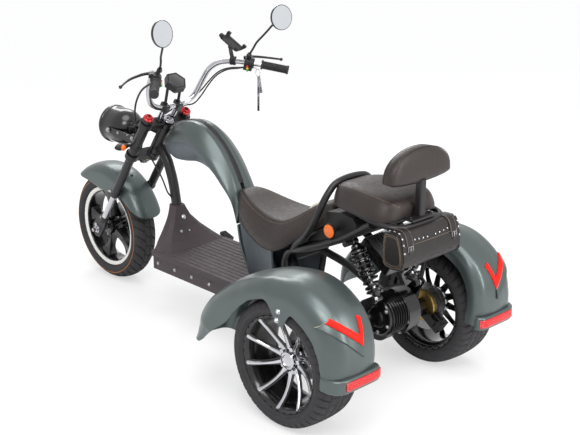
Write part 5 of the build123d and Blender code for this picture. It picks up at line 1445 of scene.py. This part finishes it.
# Side reflectors with black rims, and the brake pedal's ribs
for side, name in SIDES:
    out = LEFT * side
    rim = Shape()
    centre = at(58, side * 142, 614)
    rim.lathe(centre, out, ((0.1, -1), (22, -1), (26, 0), (27, 3), (27, 8), (25.6, 9.6), (24, 9.4),
        (23.6, 7)), 56)
    rim.tube([at(58, side * 111, 614), centre], 8)
    rim.done(f"side_reflector_rim_{name}", "chassis", PLASTIC, "black_plastic",
        replaces=once(side, "side_reflectors"))
    lens = Shape()
    lens.lathe(centre, out, ((23.8, 7), (23.6, 8.6), (18, 9.8), (10, 10.4), (0.1, 10.6)), 56)
    for ray in (Vector((cos(a), 0, sin(a))) for a in around_axis(9)):
        lens.rod(centre + out * 9.6 * MM + ray * 5 * MM, centre + out * 9.4 * MM + ray * 21 * MM, 0.9,
            segments=6)
    lens.done(f"side_reflector_lens_{name}", "chassis", AMBER, "amber")
tread = Shape()
for k in range(6):
    x = 976 + 9 * k
    z = 277.5 + 0.3 * (x - 1000) + 5
    tread.rod(at(x, -206, z), at(x, -178, z), 2, segments=10)
tread.done("brake_pedal_ribs", "chassis", PLASTIC, "black_plastic")

# Key ring below the right grip, clips on the apron, and a pale tube under the rider seat's tail that is a
# painted reflection of light off the underside
ring = Shape()
ring.tube([at(884, -238, 1012), at(868, -246, 1013), at(857, -250, 1008)], 1.6, segments=8)
ring.tube([at(856 + 13 * cos(a), -250, 994 + 15 * sin(a)) for a in (2 * pi * k / 24 for k in range(25))],
    1.3, segments=8, caps=False)
for top, foot, half in (((852, -251, 982), (838, -251, 914), 8), ((850, -248, 980), (852, -248, 838), 6)):
    top, foot = at(*top), at(*foot)
    run = (foot - top).normalized()
    ring.block((foot + top) / 2, run.cross(LEFT).normalized(), LEFT, run,
        (half, 1.3, (foot - top).length / 2 / MM))
ring.done("key_ring", "steering", CHROME, "chrome", bevel=0.0008)
clips = Shape()
for y, z in ((30, 342), (-10, 337)):
    clips.bolt(at(1027, y, z), Vector((-0.9, 0, 0.45)), 4.5, 5)
clips.done("apron_clips", "chassis", STEEL, "steel", bevel=0.0004)
# A pale tube under the rider seat's tail: a painted reflection, not a guard.
Shape().tube([at(228, 66, 636), at(212, 64, 652), at(190, 62, 664), at(164, 60, 671)], 7).done(
    "seat_tail_painted_reflection", "chassis", PAINTED_LIGHT_PALE, "black_plastic")

# Held cables, along the same points as the solid ones


def cord_curve(name, routes, node, body):
    """One curve for cords of (points, radius), which rides and replaces as one."""
    curve = bpy.data.curves.new(name, "CURVE")
    curve.dimensions = "3D"
    curve.bevel_depth = routes[0][1] * MM
    curve.bevel_resolution = 4
    curve.resolution_u = 6
    for points, radius in routes:
        spline = curve.splines.new("NURBS")
        spline.points.add(len(points) - 1)
        for spot, point in zip(spline.points, points):
            spot.co = (point.x, point.y, point.z, 1)
            spot.radius = radius / routes[0][1]
        spline.order_u = 3
        spline.use_endpoint_u = True
    curve.materials.append(PLASTIC)
    made = bpy.data.objects.new(name, curve)
    scene.collection.objects.link(made)
    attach(made, body)
    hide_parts(node)


PERCH_CABLE = ((893, 236, 1015), (925, 222, 1010), (975, 212, 992), (1030, 200, 965), (1084, 180, 928),
    (1134, 158, 886), (1176, 134, 840), (1212, 108, 792), (1252, 84, 760), (1306, 60, 740), (1372, 32, 727))
SWITCH_CABLES = (((893, -238, 1017), (930, -232, 1008), (984, -214, 1004), (1036, -196, 985),
    (1072, -176, 945), (1098, -152, 900), (1126, -120, 862), (1158, -74, 842), (1200, -48, 802),
    (1270, -38, 768), (1372, -28, 736)), ((893, -225, 1017), (930, -212, 1007), (982, -196, 1000),
    (1030, -178, 972), (1060, -160, 930), (1084, -142, 884), (1112, -122, 842), (1152, -100, 838),
    (1190, -72, 800), (1262, -58, 768), (1376, -40, 745)))
cord_curve("steering_cable_run", [([at(*p) for p in PERCH_CABLE], 4)] + [([at(*p) for p in route], 3)
    for route in SWITCH_CABLES], "steering_cables", "steering")
cord_curve("frame_cable_run", [([on_fork(0, 18, -48), on_fork(-4, 42, -56), at(1192, 50, 628),
    at(1156, 47, 590), at(1126, 45, 553), at(1108, 43, 518), at(1101, 36, 488), at(1094, 10, 462)], 3.5)],
    "frame_cables", "chassis")
